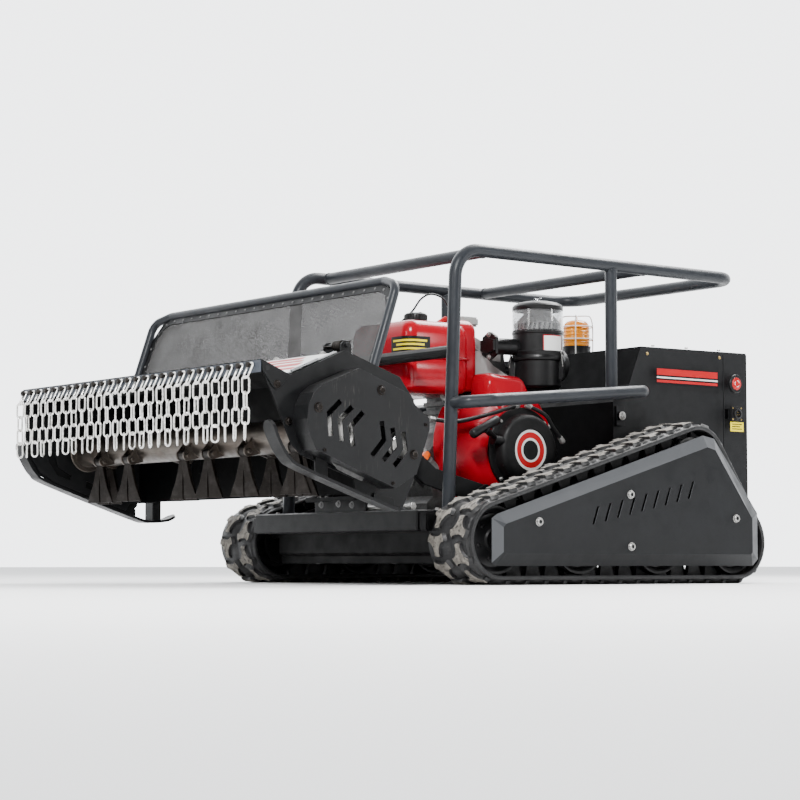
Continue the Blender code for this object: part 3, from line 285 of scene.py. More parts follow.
class Shader:
    """A Principled material with small helpers for the nodes that feed it."""

    def __init__(self, name, base, roughness, metallic=0.0):
        self.material = bpy.data.materials.new(name)
        self.material.use_nodes = True
        self.tree = self.material.node_tree
        self.out = self.tree.nodes["Principled BSDF"]
        self.base = base
        self.out.inputs["Base Color"].default_value = (*base, 1.0)
        self.out.inputs["Roughness"].default_value = roughness
        self.out.inputs["Metallic"].default_value = metallic
        self.material.diffuse_color = (*base, 1.0)
        self.place = self.node("ShaderNodeTexCoord").outputs["Object"]
        self.colour = None

    def node(self, kind, **settings):
        made = self.tree.nodes.new(kind)
        for key, value in settings.items():
            setattr(made, key, value)
        return made

    def link(self, source, target):
        self.tree.links.new(source, target)

    def stretched(self, scale, turn=(0.0, 0.0, 0.0)):
        mapping = self.node("ShaderNodeMapping")
        mapping.inputs["Scale"].default_value = scale
        mapping.inputs["Rotation"].default_value = turn
        self.link(self.place, mapping.inputs["Vector"])
        return mapping.outputs["Vector"]

    def noise(self, scale, low=0.35, high=0.65, detail=5.0, vector=None):
        """Noise, sharpened so that it runs from 0 to 1 between low and high."""
        noise = self.node("ShaderNodeTexNoise")
        noise.inputs["Scale"].default_value = scale
        noise.inputs["Detail"].default_value = detail
        self.link(vector or self.place, noise.inputs["Vector"])
        return self.between(noise.outputs["Fac"], low, high)

    def between(self, value, low, high, to_low=0.0, to_high=1.0):
        spread = self.node("ShaderNodeMapRange")
        spread.inputs["From Min"].default_value = low
        spread.inputs["From Max"].default_value = high
        spread.inputs["To Min"].default_value = to_low
        spread.inputs["To Max"].default_value = to_high
        self.link(value, spread.inputs["Value"])
        return spread.outputs["Result"]

    def math(self, operation, a, b):
        made = self.node("ShaderNodeMath", operation=operation)
        for value, target in zip((a, b), made.inputs):
            if isinstance(value, (int, float)):
                target.default_value = value
            else:
                self.link(value, target)
        return made.outputs["Value"]

    def blend(self, mask, colour, share=1.0):
        """Mixes a colour over what is there, by a mask."""
        mix = self.node("ShaderNodeMix", data_type="RGBA")
        if share != 1.0:
            mask = self.math("MULTIPLY", mask, share)
        self.link(mask, mix.inputs["Factor"])
        if self.colour is None:
            mix.inputs["A"].default_value = (*self.base, 1.0)
        else:
            self.link(self.colour, mix.inputs["A"])
        mix.inputs["B"].default_value = (*colour, 1.0)
        self.colour = mix.outputs["Result"]
        self.link(self.colour, self.out.inputs["Base Color"])

    def edges(self, radius=0.002, low=0.02, high=0.25):
        """1 on worn edges, 0 on flat faces."""
        bevel = self.node("ShaderNodeBevel", samples=4)
        bevel.inputs["Radius"].default_value = radius
        flat = self.node("ShaderNodeNewGeometry").outputs["Normal"]
        dot = self.node("ShaderNodeVectorMath", operation="DOT_PRODUCT")
        self.link(bevel.outputs["Normal"], dot.inputs[0])
        self.link(flat, dot.inputs[1])
        return self.between(self.math("SUBTRACT", 1.0, dot.outputs["Value"]), low, high)

    def normal(self, axis):
        split = self.node("ShaderNodeSeparateXYZ")
        self.link(self.node("ShaderNodeNewGeometry").outputs["Normal"], split.inputs["Vector"])
        return split.outputs[axis]

    def facing_up(self, low=0.3, high=0.9):
        return self.between(self.normal("Z"), low, high)

    def rough(self, mask, low, high):
        self.link(self.between(mask, 0.0, 1.0, low, high), self.out.inputs["Roughness"])

    def bump(self, height, depth, round_edge=0.0):
        bump = self.node("ShaderNodeBump")
        bump.inputs["Strength"].default_value = 1.0
        bump.inputs["Distance"].default_value = depth
        self.link(height, bump.inputs["Height"])
        if round_edge:
            bevel = self.node("ShaderNodeBevel", samples=4)
            bevel.inputs["Radius"].default_value = round_edge
            self.link(bevel.outputs["Normal"], bump.inputs["Normal"])
        self.link(bump.outputs["Normal"], self.out.inputs["Normal"])


def lighter(rgb, share):
    return tuple(min(1.0, c * share) for c in rgb)


def painted(name, base, roughness, grain=600.0, depth=0.00012, mottle=0.22, wear=0.35, dust=0.0,
            round_edge=0.0015, coat=0.0, streaks=0.0, sheen=0.22, hollow=False, bevel_highlight=None):
    """Painted metal: mottled colour, fine orange peel, softened edges with a little wear, some dust; where
    asked, painted shade on faces that look forward or down and a painted highlight on slanted edges.
    """
    look = Shader(name, base, roughness)
    cloudy = look.noise(7.0)
    look.blend(cloudy, lighter(base, 1.0 + 2 * mottle), 0.7)
    look.blend(look.noise(90.0, 0.55, 0.75), lighter(base, 1.0 - mottle), 0.6)
    if dust:
        settled = look.math("MULTIPLY", look.facing_up(), look.noise(18.0, 0.3, 0.75))
        look.blend(settled, (0.3, 0.285, 0.26), dust)
    if bevel_highlight:
        # painted highlight: slanted edges made lighter, standing in for the sky they reflect
        tilt = look.math("MAXIMUM", look.normal("Z"), look.math("ABSOLUTE", look.normal("Y"), 0.0))
        look.blend(look.between(tilt, 0.22, 0.42), bevel_highlight)
    if wear:
        worn = look.math("MULTIPLY", look.edges(), look.noise(60.0, 0.4, 0.6))
        look.blend(worn, lighter(base, 4.5), wear)
    if streaks:
        rubbed = look.noise(1.0, 0.6, 0.78, 3.0, look.stretched((40.0, 260.0, 22.0), (0.5, 0.0, 0.0)))
        look.blend(look.math("MULTIPLY", rubbed, look.noise(9.0, 0.5, 0.66)), (0.14, 0.13, 0.115), streaks)
    spread = 0.02 if coat else 0.08
    look.rough(look.noise(25.0), roughness - spread, roughness + spread)
    look.bump(look.noise(grain, 0.2, 0.8, 2.0), depth, round_edge)
    look.out.inputs["Specular IOR Level"].default_value = sheen
    if hollow:
        # painted shade: hollow bodies are darkened, with less sheen, on what faces forward or down
        front_down_shade = look.between(look.math("MINIMUM", look.normal("Y"), look.normal("Z")), -0.44, -0.56)
        look.blend(front_down_shade, lighter(base, 0.3), 0.9)
        look.link(look.between(front_down_shade, 0.0, 1.0, sheen, 0.03), look.out.inputs["Specular IOR Level"])
    look.out.inputs["Coat Weight"].default_value = coat
    look.out.inputs["Coat Roughness"].default_value = 0.12
    return look.material


def plastic(name, base, roughness, depth=0.0001, grain=900.0, coat=0.0):
    """Moulded plastic: faint spark-eroded grain and slightly uneven sheen."""
    look = Shader(name, base, roughness)
    look.blend(look.noise(12.0), lighter(base, 1.3), 0.5)
    look.blend(look.math("MULTIPLY", look.facing_up(), look.noise(30.0, 0.4, 0.8)), (0.22, 0.21, 0.2), 0.04)
    look.rough(look.noise(40.0), roughness - 0.05, roughness + 0.08)
    look.bump(look.noise(grain, 0.2, 0.8, 2.0), depth, 0.0012)
    look.out.inputs["Specular IOR Level"].default_value = 0.32
    look.out.inputs["Coat Weight"].default_value = coat
    return look.material


def bare_metal(name, base, roughness, rust=0.0, streak=(30.0, 400.0, 400.0), stain=(0.16, 0.075, 0.035),
               metallic=1.0):
    """Bare metal: drawn streaks, blotches and, where asked, rust."""
    look = Shader(name, base, roughness, metallic)
    look.blend(look.noise(1.0, vector=look.stretched(streak)), lighter(base, 0.62), 0.7)
    look.blend(look.noise(14.0, 0.45, 0.7), lighter(base, 1.35), 0.5)
    if rust:
        patches = look.noise(22.0, 0.5, 0.62)
        look.blend(patches, stain, rust)
        look.link(look.between(patches, 0.0, 1.0, 1.0, 1.0 - 0.7 * rust), look.out.inputs["Metallic"])
    look.rough(look.noise(35.0), roughness - 0.08, roughness + 0.14)
    look.bump(look.noise(500.0, 0.2, 0.8, 3.0), 0.00012, 0.001)
    return look.material


def rubber(name):
    """Track rubber: near black, with pale dry dust on what has been rubbed or faces up."""
    look = Shader(name, (0.005, 0.0051, 0.0056), 0.5)
    look.blend(look.noise(20.0), (0.01, 0.0102, 0.0112), 0.8)
    dusty = look.math("MULTIPLY", look.facing_up(0.55, 0.95), look.noise(45.0, 0.36, 0.62))
    look.blend(dusty, (0.12, 0.112, 0.1), 0.3)
    look.blend(look.noise(160.0, 0.55, 0.72), (0.06, 0.057, 0.052), 0.25)
    look.rough(look.noise(30.0), 0.42, 0.66)
    look.bump(look.noise(260.0, 0.2, 0.8), 0.0004)
    return look.material


def lug_rubber(name):
    """The pads' worn tops: pale dried earth over black rubber."""
    look = Shader(name, (0.13, 0.12, 0.104), 0.85)
    look.blend(look.noise(55.0, 0.42, 0.66), (0.235, 0.215, 0.187), 0.9)
    look.blend(look.math("MULTIPLY", look.facing_up(0.4, 0.9), look.noise(40.0, 0.3, 0.6)),
               (0.4, 0.375, 0.34), 0.75)
    look.blend(look.noise(90.0, 0.52, 0.66), (0.022, 0.021, 0.02), 0.8)
    look.rough(look.noise(30.0), 0.75, 0.92)
    look.bump(look.noise(300.0, 0.2, 0.8), 0.0005)
    return look.material


def clear_plastic(name, base, roughness, transmission=1.0, ior=1.45, alpha=1.0):
    look = Shader(name, base, roughness)
    look.blend(look.noise(30.0, 0.4, 0.8), lighter(base, 0.9), 0.4)
    look.out.inputs["Transmission Weight"].default_value = transmission
    look.out.inputs["IOR"].default_value = ior
    look.out.inputs["Alpha"].default_value = alpha
    look.bump(look.noise(80.0, 0.2, 0.8), 0.00006)
    return look.material


def perforated(name, base, pitch, hole):
    """A thin sheet pierced with a fine square grid of holes, in its X and up directions."""
    look = Shader(name, base, 0.5, 0.4)
    look.blend(look.noise(4.0), lighter(base, 1.6), 0.6)
    split = look.node("ShaderNodeSeparateXYZ")
    look.link(look.place, split.inputs["Vector"])
    waves = []
    for axis in ("X", "Z"):
        wave = look.math("MULTIPLY", split.outputs[axis], 2 * math.pi / pitch)
        waves.append(look.math("SINE", wave, 0.0))
    open_there = look.math("GREATER_THAN", look.math("ADD", *waves), hole)
    look.link(look.math("SUBTRACT", 1.0, open_there), look.out.inputs["Alpha"])
    look.rough(look.noise(20.0), 0.4, 0.6)
    return look.material


LOOK = {
    "paint": painted("black_powder_coat", (0.0034, 0.0036, 0.004), 0.42, dust=0.03),
    "guard_paint": painted("rubbed_guard_paint", (0.0056, 0.0058, 0.0063), 0.4, dust=0.03, streaks=0.45),
    "frame": painted("black_frame", (0.0018, 0.0019, 0.0021), 0.55, dust=0.02, sheen=0.15),
    # the cover's slanted edges carry a painted highlight
    "cover": painted("cover_paint", (0.0064, 0.0069, 0.0078), 0.42, wear=0.25, bevel_highlight=(0.068, 0.071, 0.076)),
    # painted reflection: the tubes' black paint is made lighter and bluer than the frame's, standing in for
    # the sky the round tubes reflect
    "tube": painted("tube_paint", (0.02, 0.0223, 0.0262), 0.36, grain=500.0, depth=0.0001, wear=0.0,
                    dust=0.03),
    # painted reflection: the chain bar's black paint made light blue-grey, standing in for the sky it
    # reflects
    "rail": painted("rail_painted_sky_reflection", (0.046, 0.053, 0.066), 0.36),
    # the deck and the cabinet get painted shade on faces that look forward or down
    "deck": painted("deck_paint", (0.0042, 0.0044, 0.0048), 0.42, dust=0.03, hollow=True),
    "cabinet": painted("cabinet_paint", (0.005, 0.0053, 0.006), 0.5, grain=900.0, depth=0.0002, wear=0.15,
                       hollow=True),
    "red": painted("red_gloss", (0.37, 0.0016, 0.012), 0.2, grain=120.0, depth=0.00003, mottle=0.03,
                   wear=0.0, round_edge=0.003, coat=0.25, sheen=0.25),
    "signal_red": plastic("signal_red", (0.46, 0.005, 0.007), 0.25, coat=0.3),
    "plastic": plastic("black_plastic", (0.0036, 0.0036, 0.004), 0.38),
    "starter": plastic("starter_plastic", (0.0022, 0.0022, 0.0025), 0.5),
    "silver": bare_metal("plated_steel", (0.42, 0.415, 0.4), 0.3, metallic=0.65),
    "chain": bare_metal("galvanised", (0.96, 0.95, 0.91), 0.28, streak=(90.0, 90.0, 90.0), metallic=0.62),
    "steel": bare_metal("worn_steel", (0.105, 0.092, 0.08), 0.36, rust=0.4, stain=(0.05, 0.026, 0.014)),
    "forged": bare_metal("forged_flail", (0.022, 0.019, 0.017), 0.42, rust=0.4, stain=(0.012, 0.008, 0.006)),
    "chrome": bare_metal("chrome", (0.75, 0.76, 0.78), 0.1),
    "brass": bare_metal("brass", (0.62, 0.45, 0.18), 0.3),
    "cast": bare_metal("cast_aluminium", (0.15, 0.15, 0.148), 0.5, streak=(160.0, 160.0, 160.0)),
    "alu": bare_metal("aluminium", (0.6, 0.61, 0.62), 0.32),
    "white": painted("white_enamel", (0.78, 0.78, 0.76), 0.35, mottle=0.05, wear=0.0),
    "yellow": painted("yellow_film", (0.92, 0.74, 0.008), 0.4, mottle=0.05, wear=0.0),
    "red_film": painted("red_film", (0.46, 0.006, 0.01), 0.38, mottle=0.08, wear=0.0),
    "orange": plastic("orange_plastic", (0.8, 0.12, 0.01), 0.35),
    "cowl": painted("cowl_enamel", (0.4, 0.4, 0.39), 0.38, mottle=0.05, wear=0.0),
    "grey": painted("grey_casting", (0.1, 0.1, 0.1), 0.55, wear=0.1),
    "pale": plastic("pale_plastic", (0.46, 0.455, 0.44), 0.4),
    "amber": clear_plastic("amber_lens", (0.98, 0.36, 0.02), 0.12, 0.45),
    "clear": clear_plastic("clear_bowl", (0.8, 0.81, 0.82), 0.05, 0.86, 1.42),
    "mesh": perforated("guard_mesh", (0.03, 0.028, 0.027), 0.004, 0.95),
    "rubber": rubber("track_rubber"),
    "lug_top": lug_rubber("lug_top"),
    "hose": plastic("hose_rubber", (0.006, 0.006, 0.0065), 0.45),
}


def repaint(look, *nodes):
    """Gives CAD nodes that are shown as they are their detailed material."""
    for node in nodes:
        item = frame["nodes"][node]
        item.data.materials.clear()
        item.data.materials.append(LOOK[look])


# ---------------------------------------------------------------- tracks

TRACK_X, BELT_HALF = 0.536, 0.097
BELT_INNER, BELT_FACE, BELT_TIP = 0.0995, 0.113, 0.125
WHEELS = ["front_idler", "front_road_wheel", "rear_road_wheel", "rear_idler"]
LUGS = 38


def loop_point(share, radius):
    """A point on the belt's loop, at a share of the way round it."""
    spins = [pivot("left_" + name + "_spin") for name in (WHEELS[0],
                                                          WHEELS[3])] + [pivot("left_sprocket_spin")]
    corners = [Vector((spin.y, spin.z)) for spin in spins]
    pieces = []
    for k in range(3):
        here, there, last = corners[k], corners[(k + 1) % 3], corners[k - 1]
        come, go = (here - last).normalized(), (there - here).normalized()
        turn = come.angle(go)
        pieces.append((here, math.atan2(-come.x, come.y), turn, turn * (BELT_FACE - 0.006)))
        pieces.append((here, there, Vector((go.y, -go.x)), (there - here).length))
    left = share % 1.0 * sum(item[-1] for item in pieces)
    for item in pieces:
        if left <= item[-1]:
            break
        left -= item[-1]
    here, second, third, length = item
    if isinstance(second, float):
        angle = second + third * left / length
        return here + Vector((math.cos(angle), math.sin(angle))) * radius
    return here.lerp(second, left / length) + third * radius


def pad_outline():
    """A lug pad seen from above: three stubby arms with round hollows between them."""
    points = []
    for heading in (90, 205, 335):
        along = Vector((math.cos(math.radians(heading)), math.sin(math.radians(heading))))
        across = Vector((-along.y, along.x))
        for out, wide in ((0.014, -0.0105), (0.024, -0.0085), (0.0305, -0.0105), (0.0325, -0.005),
                          (0.0325, 0.005), (0.0305, 0.0105), (0.024, 0.0085), (0.014, 0.0105)):
            points.append(along * out + across * wide)
    return points


def make_belts():
    for side, sign in SIDES:
        band, pads = bmesh.new(), bmesh.new()
        middle = sign * TRACK_X
        steps = LUGS * 8
        # half of the belt's cross section: distance from its middle, radius, share of the sway
        edge = [(BELT_HALF - 0.003, BELT_INNER, 0), (BELT_HALF, BELT_INNER + 0.004, 0),
                (BELT_HALF, BELT_FACE - 0.005, 0), (BELT_HALF - 0.002, BELT_FACE - 0.002, 0),
                (BELT_HALF - 0.014, BELT_FACE - 0.001, 0), (BELT_HALF - 0.019, BELT_FACE + 0.0035, 0.5),
                (0.013, BELT_FACE + 0.003, 1), (0.006, BELT_FACE - 0.0015, 1)]
        rings = []
        for i in range(steps):
            share = i / steps
            sway = 0.006 * math.sin(2 * math.pi * share * LUGS)
            section = [(-x + sway * share_of_sway, radius) for x, radius, share_of_sway in edge]
            section += [(x + sway * share_of_sway, radius) for x, radius, share_of_sway in reversed(edge)]
            rings.append([band.verts.new((middle + x, *loop_point(share, radius))) for x, radius in section])
        join_rings(band, rings, around=True)
        # guide lugs inside, one on each pitch
        for i in range(LUGS):
            for near, far in ((-0.04, -0.022), (0.022, 0.04)):
                corners = []
                for part, radius, draw in ((0.1, BELT_INNER + 0.002, 0.0), (0.9, BELT_INNER + 0.002, 0.0),
                                           (0.76, 0.066, 0.003), (0.24, 0.066, 0.003)):
                    point = loop_point((i + part) / LUGS, radius)
                    corners.append([band.verts.new((middle + x, *point)) for x in (near + draw, far - draw)])
                join_rings(band, list(zip(*corners)))
        # tread pads in two rows, half a pitch apart
        pitch = 0.072
        for i in range(LUGS):
            for row, flip in ((-1, 1), (1, -1)):
                centre = i + (0.0 if row < 0 else 0.5)
                base, shoulder, top = [], [], []
                for point in pad_outline():
                    for ring, grow, radius in ((base, 1.28, BELT_FACE + 0.001),
                                               (shoulder, 1.06, BELT_TIP - 0.0012),
                                               (top, 0.94, BELT_TIP)):
                        x = middle + row * 0.048 + point.x * grow * sign
                        share = (centre + flip * point.y * grow / pitch) / LUGS
                        ring.append(pads.verts.new((x, *loop_point(share, radius))))
                count = len(base)
                for k in range(count):
                    j = (k + 1) % count
                    for low, high in ((base, shoulder), (shoulder, top)):
                        face = pads.faces.new((low[k], low[j], high[j], high[k]))
                        face.material_index = 0 if low is base else 1
                middle_top = pads.verts.new(sum((v.co for v in top), Vector()) / count)
                middle_base = pads.verts.new(sum((v.co for v in base), Vector()) / count)
                for k in range(count):
                    j = (k + 1) % count
                    pads.faces.new((top[k], top[j], middle_top)).material_index = 1
                    pads.faces.new((base[k], base[j], middle_base))
        node = side + "_track_belt"
        piece(node + "_band", band, "rubber", node, angle=40)
        tread = piece(node + "_pads", pads, "rubber", node, angle=28)
        tread.data.materials.append(LOOK["lug_top"])


def make_wheels():
    for side, sign in SIDES:
        for name in WHEELS:
            centre = pivot(side + "_" + name + "_spin")
            bm = bmesh.new()
            add_turned(bm, mirrored([(-0.06, 0.0155), (-0.066, 0.03), (-0.06, 0.034), (-0.054, 0.075),
                                     (-0.066, 0.082), (-0.07, 0.09), (-0.069, 0.0958), (-0.066, 0.0965),
                                     (-0.047, 0.0965), (-0.045, 0.094), (-0.044, 0.048)]),
                       centre, sides=56, closed=True)
            for turn in range(6):
                angle = math.radians(60 * turn + 15)
                spot = centre + Vector((sign * 0.0565, 0.054 * math.cos(angle), 0.054 * math.sin(angle)))
                add_turned(bm, [(-0.004, 0.0065), (0.003, 0.0065), (0.004, 0.005)], spot, sides=6,
                           spin=(sign, 0, 0))
            node = side + "_" + name
            piece(node + "_wheel", bm, "plastic", node, body=node, angle=40)
        centre = pivot(side + "_sprocket_spin")
        bm = bmesh.new()
        outline = []
        for tooth in range(8):
            rise = [(0.1, 0.069), (0.22, 0.069), (0.32, 0.073), (0.38, 0.084), (0.43, 0.0945), (0.46, 0.0965)]
            fall = [(1.0 - part, radius) for part, radius in reversed(rise)]
            for part, radius in [(0.0, 0.07)] + rise + fall:
                angle = 2 * math.pi * (tooth + part) / 8
                outline.append((centre.y + radius * math.cos(angle), centre.z + radius * math.sin(angle)))
        add_prism(bm, outline, centre.x - 0.017, centre.x + 0.017)
        add_turned(bm, mirrored([(-0.066, 0.0155), (-0.06, 0.078), (-0.058, 0.08), (-0.046, 0.08),
                                 (-0.044, 0.078), (-0.044, 0.042)]), centre, sides=48, closed=True)
        node = side + "_drive_sprocket"
        piece(node + "_teeth", bm, "cast", node, body=node, slot="cast_metal", angle=30)


def make_track_fittings():
    """Bolts of the side covers."""
    for side, sign in SIDES:
        low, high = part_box(side + "_track_cover")
        face = (high[0] - 0.006) if sign > 0 else (low[0] + 0.006)
        bolts = bmesh.new()
        for y, z in ((-0.082, 0.177), (0.273, 0.109), (0.271, 0.26), (0.708, 0.196)):
            add_turned(bolts, [(0.0, 0.0125), (0.0016, 0.0125), (0.0022, 0.0118)], (face, y, z), sides=28,
                       spin=(sign, 0, 0))
            add_turned(bolts, [(0.001, 0.0108), (0.0062, 0.0108), (0.0078, 0.0095), (0.008, 0.006),
                               (0.003, 0.0056), (0.003, 0.0)], (face, y, z), sides=24, spin=(sign, 0, 0))
        piece(side + "_cover_bolts", bolts, "silver")


make_belts()
make_wheels()
make_track_fittings()
repaint("cover", "left_track_cover", "right_track_cover")
repaint("frame", "left_track_frame", "right_track_frame", "engine_plate", "belly_plate")
repaint("paint", "front_crossbeam")


# ---------------------------------------------------------------- cage

def make_cage():
    for side, sign in SIDES:
        x = sign * CAGE_X
        bm = bmesh.new()
        add_tube(bm, fillet([(x, FRONT_POST_Y, 0.2074), (x, -0.174, CAGE_TOP), (x, 0.985, CAGE_TOP),
                             (sign * 0.0003, 0.985, CAGE_TOP)],
                            0.085, 12), TUBE_R, 32)
        node = "cage_" + side + "_tube"
        piece(node + "_bar", bm, "tube", node, angle=50)

        bm = bmesh.new()
        add_tube(bm, fillet([(sign * 0.412, -0.19, 0.521), (sign * 0.46, -0.19, 0.521),
                             (sign * 0.5, -0.12, 0.527), (sign * 0.5, 0.492, 0.5825),
                             (sign * 0.4026, 0.492, 0.5825)], 0.03, 10), 0.0185, 28)
        add_rod(bm, (sign * 0.406, REAR_POST_Y, 0.5775), (sign * 0.498, REAR_POST_Y, 0.5775), 0.0163, 24)
        low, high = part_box(side + "_side_rail")
        add_rod(bm, (x, REAR_POST_Y, 0.572), (x, REAR_POST_Y, high[2] - 0.003), 0.0185, 28)
        node = side + "_side_rail"
        piece(node + "_bar", bm, "tube", node, angle=50)
        # foot plate of the front post, with its bolts, and weld beads where tubes meet
        bm = bmesh.new()
        add_box(bm, (x - 0.032, -0.258, 0.2062), (x + 0.032, -0.168, 0.2122), 0.002)
        piece(side + "_post_foot", bm, "paint")
        bm = bmesh.new()
        for dy in (-0.04, 0.03):
            add_bolt(bm, (x, FRONT_POST_Y + dy, 0.2122), (0, 0, 1), 0.0065, 0.0095, 0.006)
        piece(side + "_post_bolts", bm, "silver")
        bm = bmesh.new()
        beads = [((x, REAR_POST_Y, 0.956), 0.0205, (0, 0, 1)), ((x, REAR_POST_Y, 0.596), 0.0205, (0, 0, 1)),
                 ((sign * 0.384, -0.06, CAGE_TOP), 0.0195, (1, 0, 0)),
                 ((sign * 0.384, 0.59, CAGE_TOP), 0.0195, (1, 0, 0))]
        for centre, radius, along in beads:
            add_turned(bm, mirrored([(-0.003, radius - 0.003), (-0.002, radius)]), centre, sides=28,
                       spin=along)
        piece(side + "_weld_beads", bm, "tube")
    for node, y in (("cage_front_cross_tube", -0.06), ("cage_middle_cross_tube", 0.59)):
        low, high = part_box(node)
        bm = bmesh.new()
        add_rod(bm, (low[0] + 0.0004, y, CAGE_TOP), (high[0] - 0.0004, y, CAGE_TOP), 0.018, 28)
        piece(node + "_bar", bm, "tube", node, angle=50)


# ---------------------------------------------------------------- control cabinet

CABINET_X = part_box("cabinet_body")[1][0]


def make_stop_button():
    """Emergency stop: dark collar on the panel, red mushroom head that moves."""
    x = CABINET_X
    low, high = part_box("emergency_stop_button")
    face = high[0]
    stop_y, stop_z = (low[1] + high[1]) / 2, (low[2] + high[2]) / 2
    bm = bmesh.new()
    add_turned(bm, [(0.0, 0.03), (0.0055, 0.03), (0.0075, 0.0285), (0.0075, 0.018), (0.0, 0.0175)],
               (x, stop_y, stop_z), sides=44, closed=True)
    piece("stop_collar", bm, "plastic")
    bm = bmesh.new()
    add_turned(bm, [(-0.024, 0.0), (-0.024, 0.0135), (-0.014, 0.014), (-0.013, 0.019), (-0.009, 0.0215),
                    (-0.005, 0.0218), (-0.0015, 0.0195), (0.0, 0.012), (0.0004, 0.0)],
               (face, stop_y, stop_z), sides=44)
    for angle in circle(20):
        spot = Vector((face - 0.0085, stop_y + 0.0213 * math.cos(angle), stop_z + 0.0213 * math.sin(angle)))
        add_rod(bm, spot - Vector((0.0025, 0, 0)), spot + Vector((0.0035, 0, 0)), 0.0012, 6)
    piece("stop_head", bm, "signal_red", "emergency_stop_button", body="emergency_stop_button")
    # arrow marks on the head
    bm = bmesh.new()
    for k in range(3):
        start = 120 * k + 15
        inner = arc((stop_y, stop_z), 0.0088, start, start + 75, 10)
        outer = arc((stop_y, stop_z), 0.0108, start + 75, start, 10)
        add_prism(bm, inner + outer, face - 0.0002, face + 0.0004)
    piece("stop_arrows", bm, "white", body="emergency_stop_button", slot="signal_red")


def make_socket():
    """Charging socket with its screws and its pins."""
    x = CABINET_X
    sock_y, sock_z = 0.957, 0.536
    bm = bmesh.new()
    add_box(bm, (x - 0.001, sock_y - 0.025, sock_z - 0.024), (x + 0.006, sock_y + 0.025, sock_z + 0.024),
            0.003)
    add_turned(bm, [(0.004, 0.0175), (0.0115, 0.017), (0.0125, 0.0155), (0.0125, 0.011), (0.004, 0.0105)],
               (x, sock_y, sock_z), sides=36, closed=True)
    piece("socket_body", bm, "plastic")
    bm = bmesh.new()
    for dy, dz in ((-0.019, -0.018), (0.019, -0.018), (-0.019, 0.018), (0.019, 0.018)):
        add_socket_screw(bm, (x + 0.005, sock_y + dy, sock_z + dz), (1, 0, 0), 0.0028, 0.0025)
    for dy, dz in ((0, 0.005), (-0.005, -0.003), (0.005, -0.003)):
        add_rod(bm, (x + 0.003, sock_y + dy, sock_z + dz), (x + 0.0105, sock_y + dy, sock_z + dz), 0.0013, 10)
    piece("socket_pins", bm, "brass")


def make_cabinet_labels():
    x = CABINET_X
    # a plain yellow label with bars, without text or sign
    bm = bmesh.new()
    add_box(bm, (x, 0.932, 0.48), (x + 0.0005, 0.992, 0.5105), 0.0)
    piece("yellow_label", bm, "yellow")
    bm = bmesh.new()
    for k in range(3):
        z = 0.503 - 0.0075 * k
        add_box(bm, (x + 0.0003, 0.94, z - 0.0014), (x + 0.0009, 0.984 - 0.008 * (k % 2), z + 0.0014))
    piece("label_bars", bm, "plastic")
    # plain level bars in place of the maker's decal
    red, white = bmesh.new(), bmesh.new()
    add_box(red, (x, 0.61, 0.644), (x + 0.0005, 0.876, 0.664))
    add_box(white, (x, 0.61, 0.634), (x + 0.0005, 0.876, 0.639))
    add_box(red, (x, 0.61, 0.621), (x + 0.0005, 0.876, 0.629))
    piece("side_bars_red", red, "red_film")
    piece("side_bars_white", white, "white")


def make_cabinet_screws():
    x = CABINET_X
    bm = bmesh.new()
    for y, z in ((0.568, 0.707), (0.885, 0.712)):
        add_socket_screw(bm, (x, y, z), (1, 0, 0), 0.005, 0.003)
    piece("brass_screws", bm, "brass")
    bm = bmesh.new()
    for y in (0.615, 0.76, 0.905):
        add_socket_screw(bm, (x - 0.022, y, 0.7335 + 0.004 * (y - 0.562) / 0.465), (0, 0, 1), 0.0055, 0.004)
    add_bolt(bm, (x, 0.462, 0.51), (1, 0, 0), 0.009, 0.0135, 0.007)
    add_bolt(bm, (x, 0.462, 0.262), (1, 0, 0), 0.009, 0.0135, 0.007)
    add_bolt(bm, (-x, 0.462, 0.51), (-1, 0, 0), 0.009, 0.0135, 0.007)
    add_bolt(bm, (-x, 0.462, 0.262), (-1, 0, 0), 0.009, 0.0135, 0.007)
    piece("cabinet_bolts", bm, "silver")


def make_cabinet_folds():
    x = CABINET_X
    # folded seam down the side panels, and the lip along their foot
    bm = bmesh.new()
    for sign in (1, -1):
        add_box(bm, (sign * x - 0.0015, 0.901, 0.212), (sign * x + 0.0015, 0.905, 0.724), 0.0008)
        add_box(bm, (sign * x - 0.002, 0.446, 0.209), (sign * x + 0.002, 1.022, 0.217), 0.001)
    piece("panel_seams", bm, "cabinet")
    # louvres on the front slope
    bm = bmesh.new()
    for k in range(5):
        y = 0.5235 + 0.0072 * k
        z = 0.643 + 0.0165 * k
        add_box(bm, (-0.3, y - 0.0035, z - 0.0012), (-0.12, y + 0.0015, z + 0.004), 0.0008)
    piece("front_louvres", bm, "cabinet")


def make_door_fittings():
    """Hinge knuckles, quarter turn latches and louvres of the rear door."""
    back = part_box("cabinet_door")[1][1]
    bm = bmesh.new()
    for z in (0.275, 0.47, 0.665):
        add_rod(bm, (-0.396, 1.031, z - 0.022), (-0.396, 1.031, z + 0.022), 0.004, 16, chamfer=0.0008)
    piece("door_knuckles", bm, "silver")
    bm = bmesh.new()
    for z in (0.3, 0.64):
        add_turned(bm, [(-0.002, 0.012), (0.001, 0.012), (0.002, 0.0105), (0.0025, 0.006), (0.0012, 0.0055),
                        (0.0012, 0.0)], (0.34, back, z), axis="Y", sides=28)
    piece("door_latches", bm, "chrome", body="cabinet_door")
    bm = bmesh.new()
    for k in range(7):
        z = 0.54 + 0.018 * k
        add_box(bm, (-0.12, back - 0.001, z), (0.12, back + 0.0035, z + 0.005), 0.0012)
    piece("door_louvres", bm, "cabinet", body="cabinet_door")


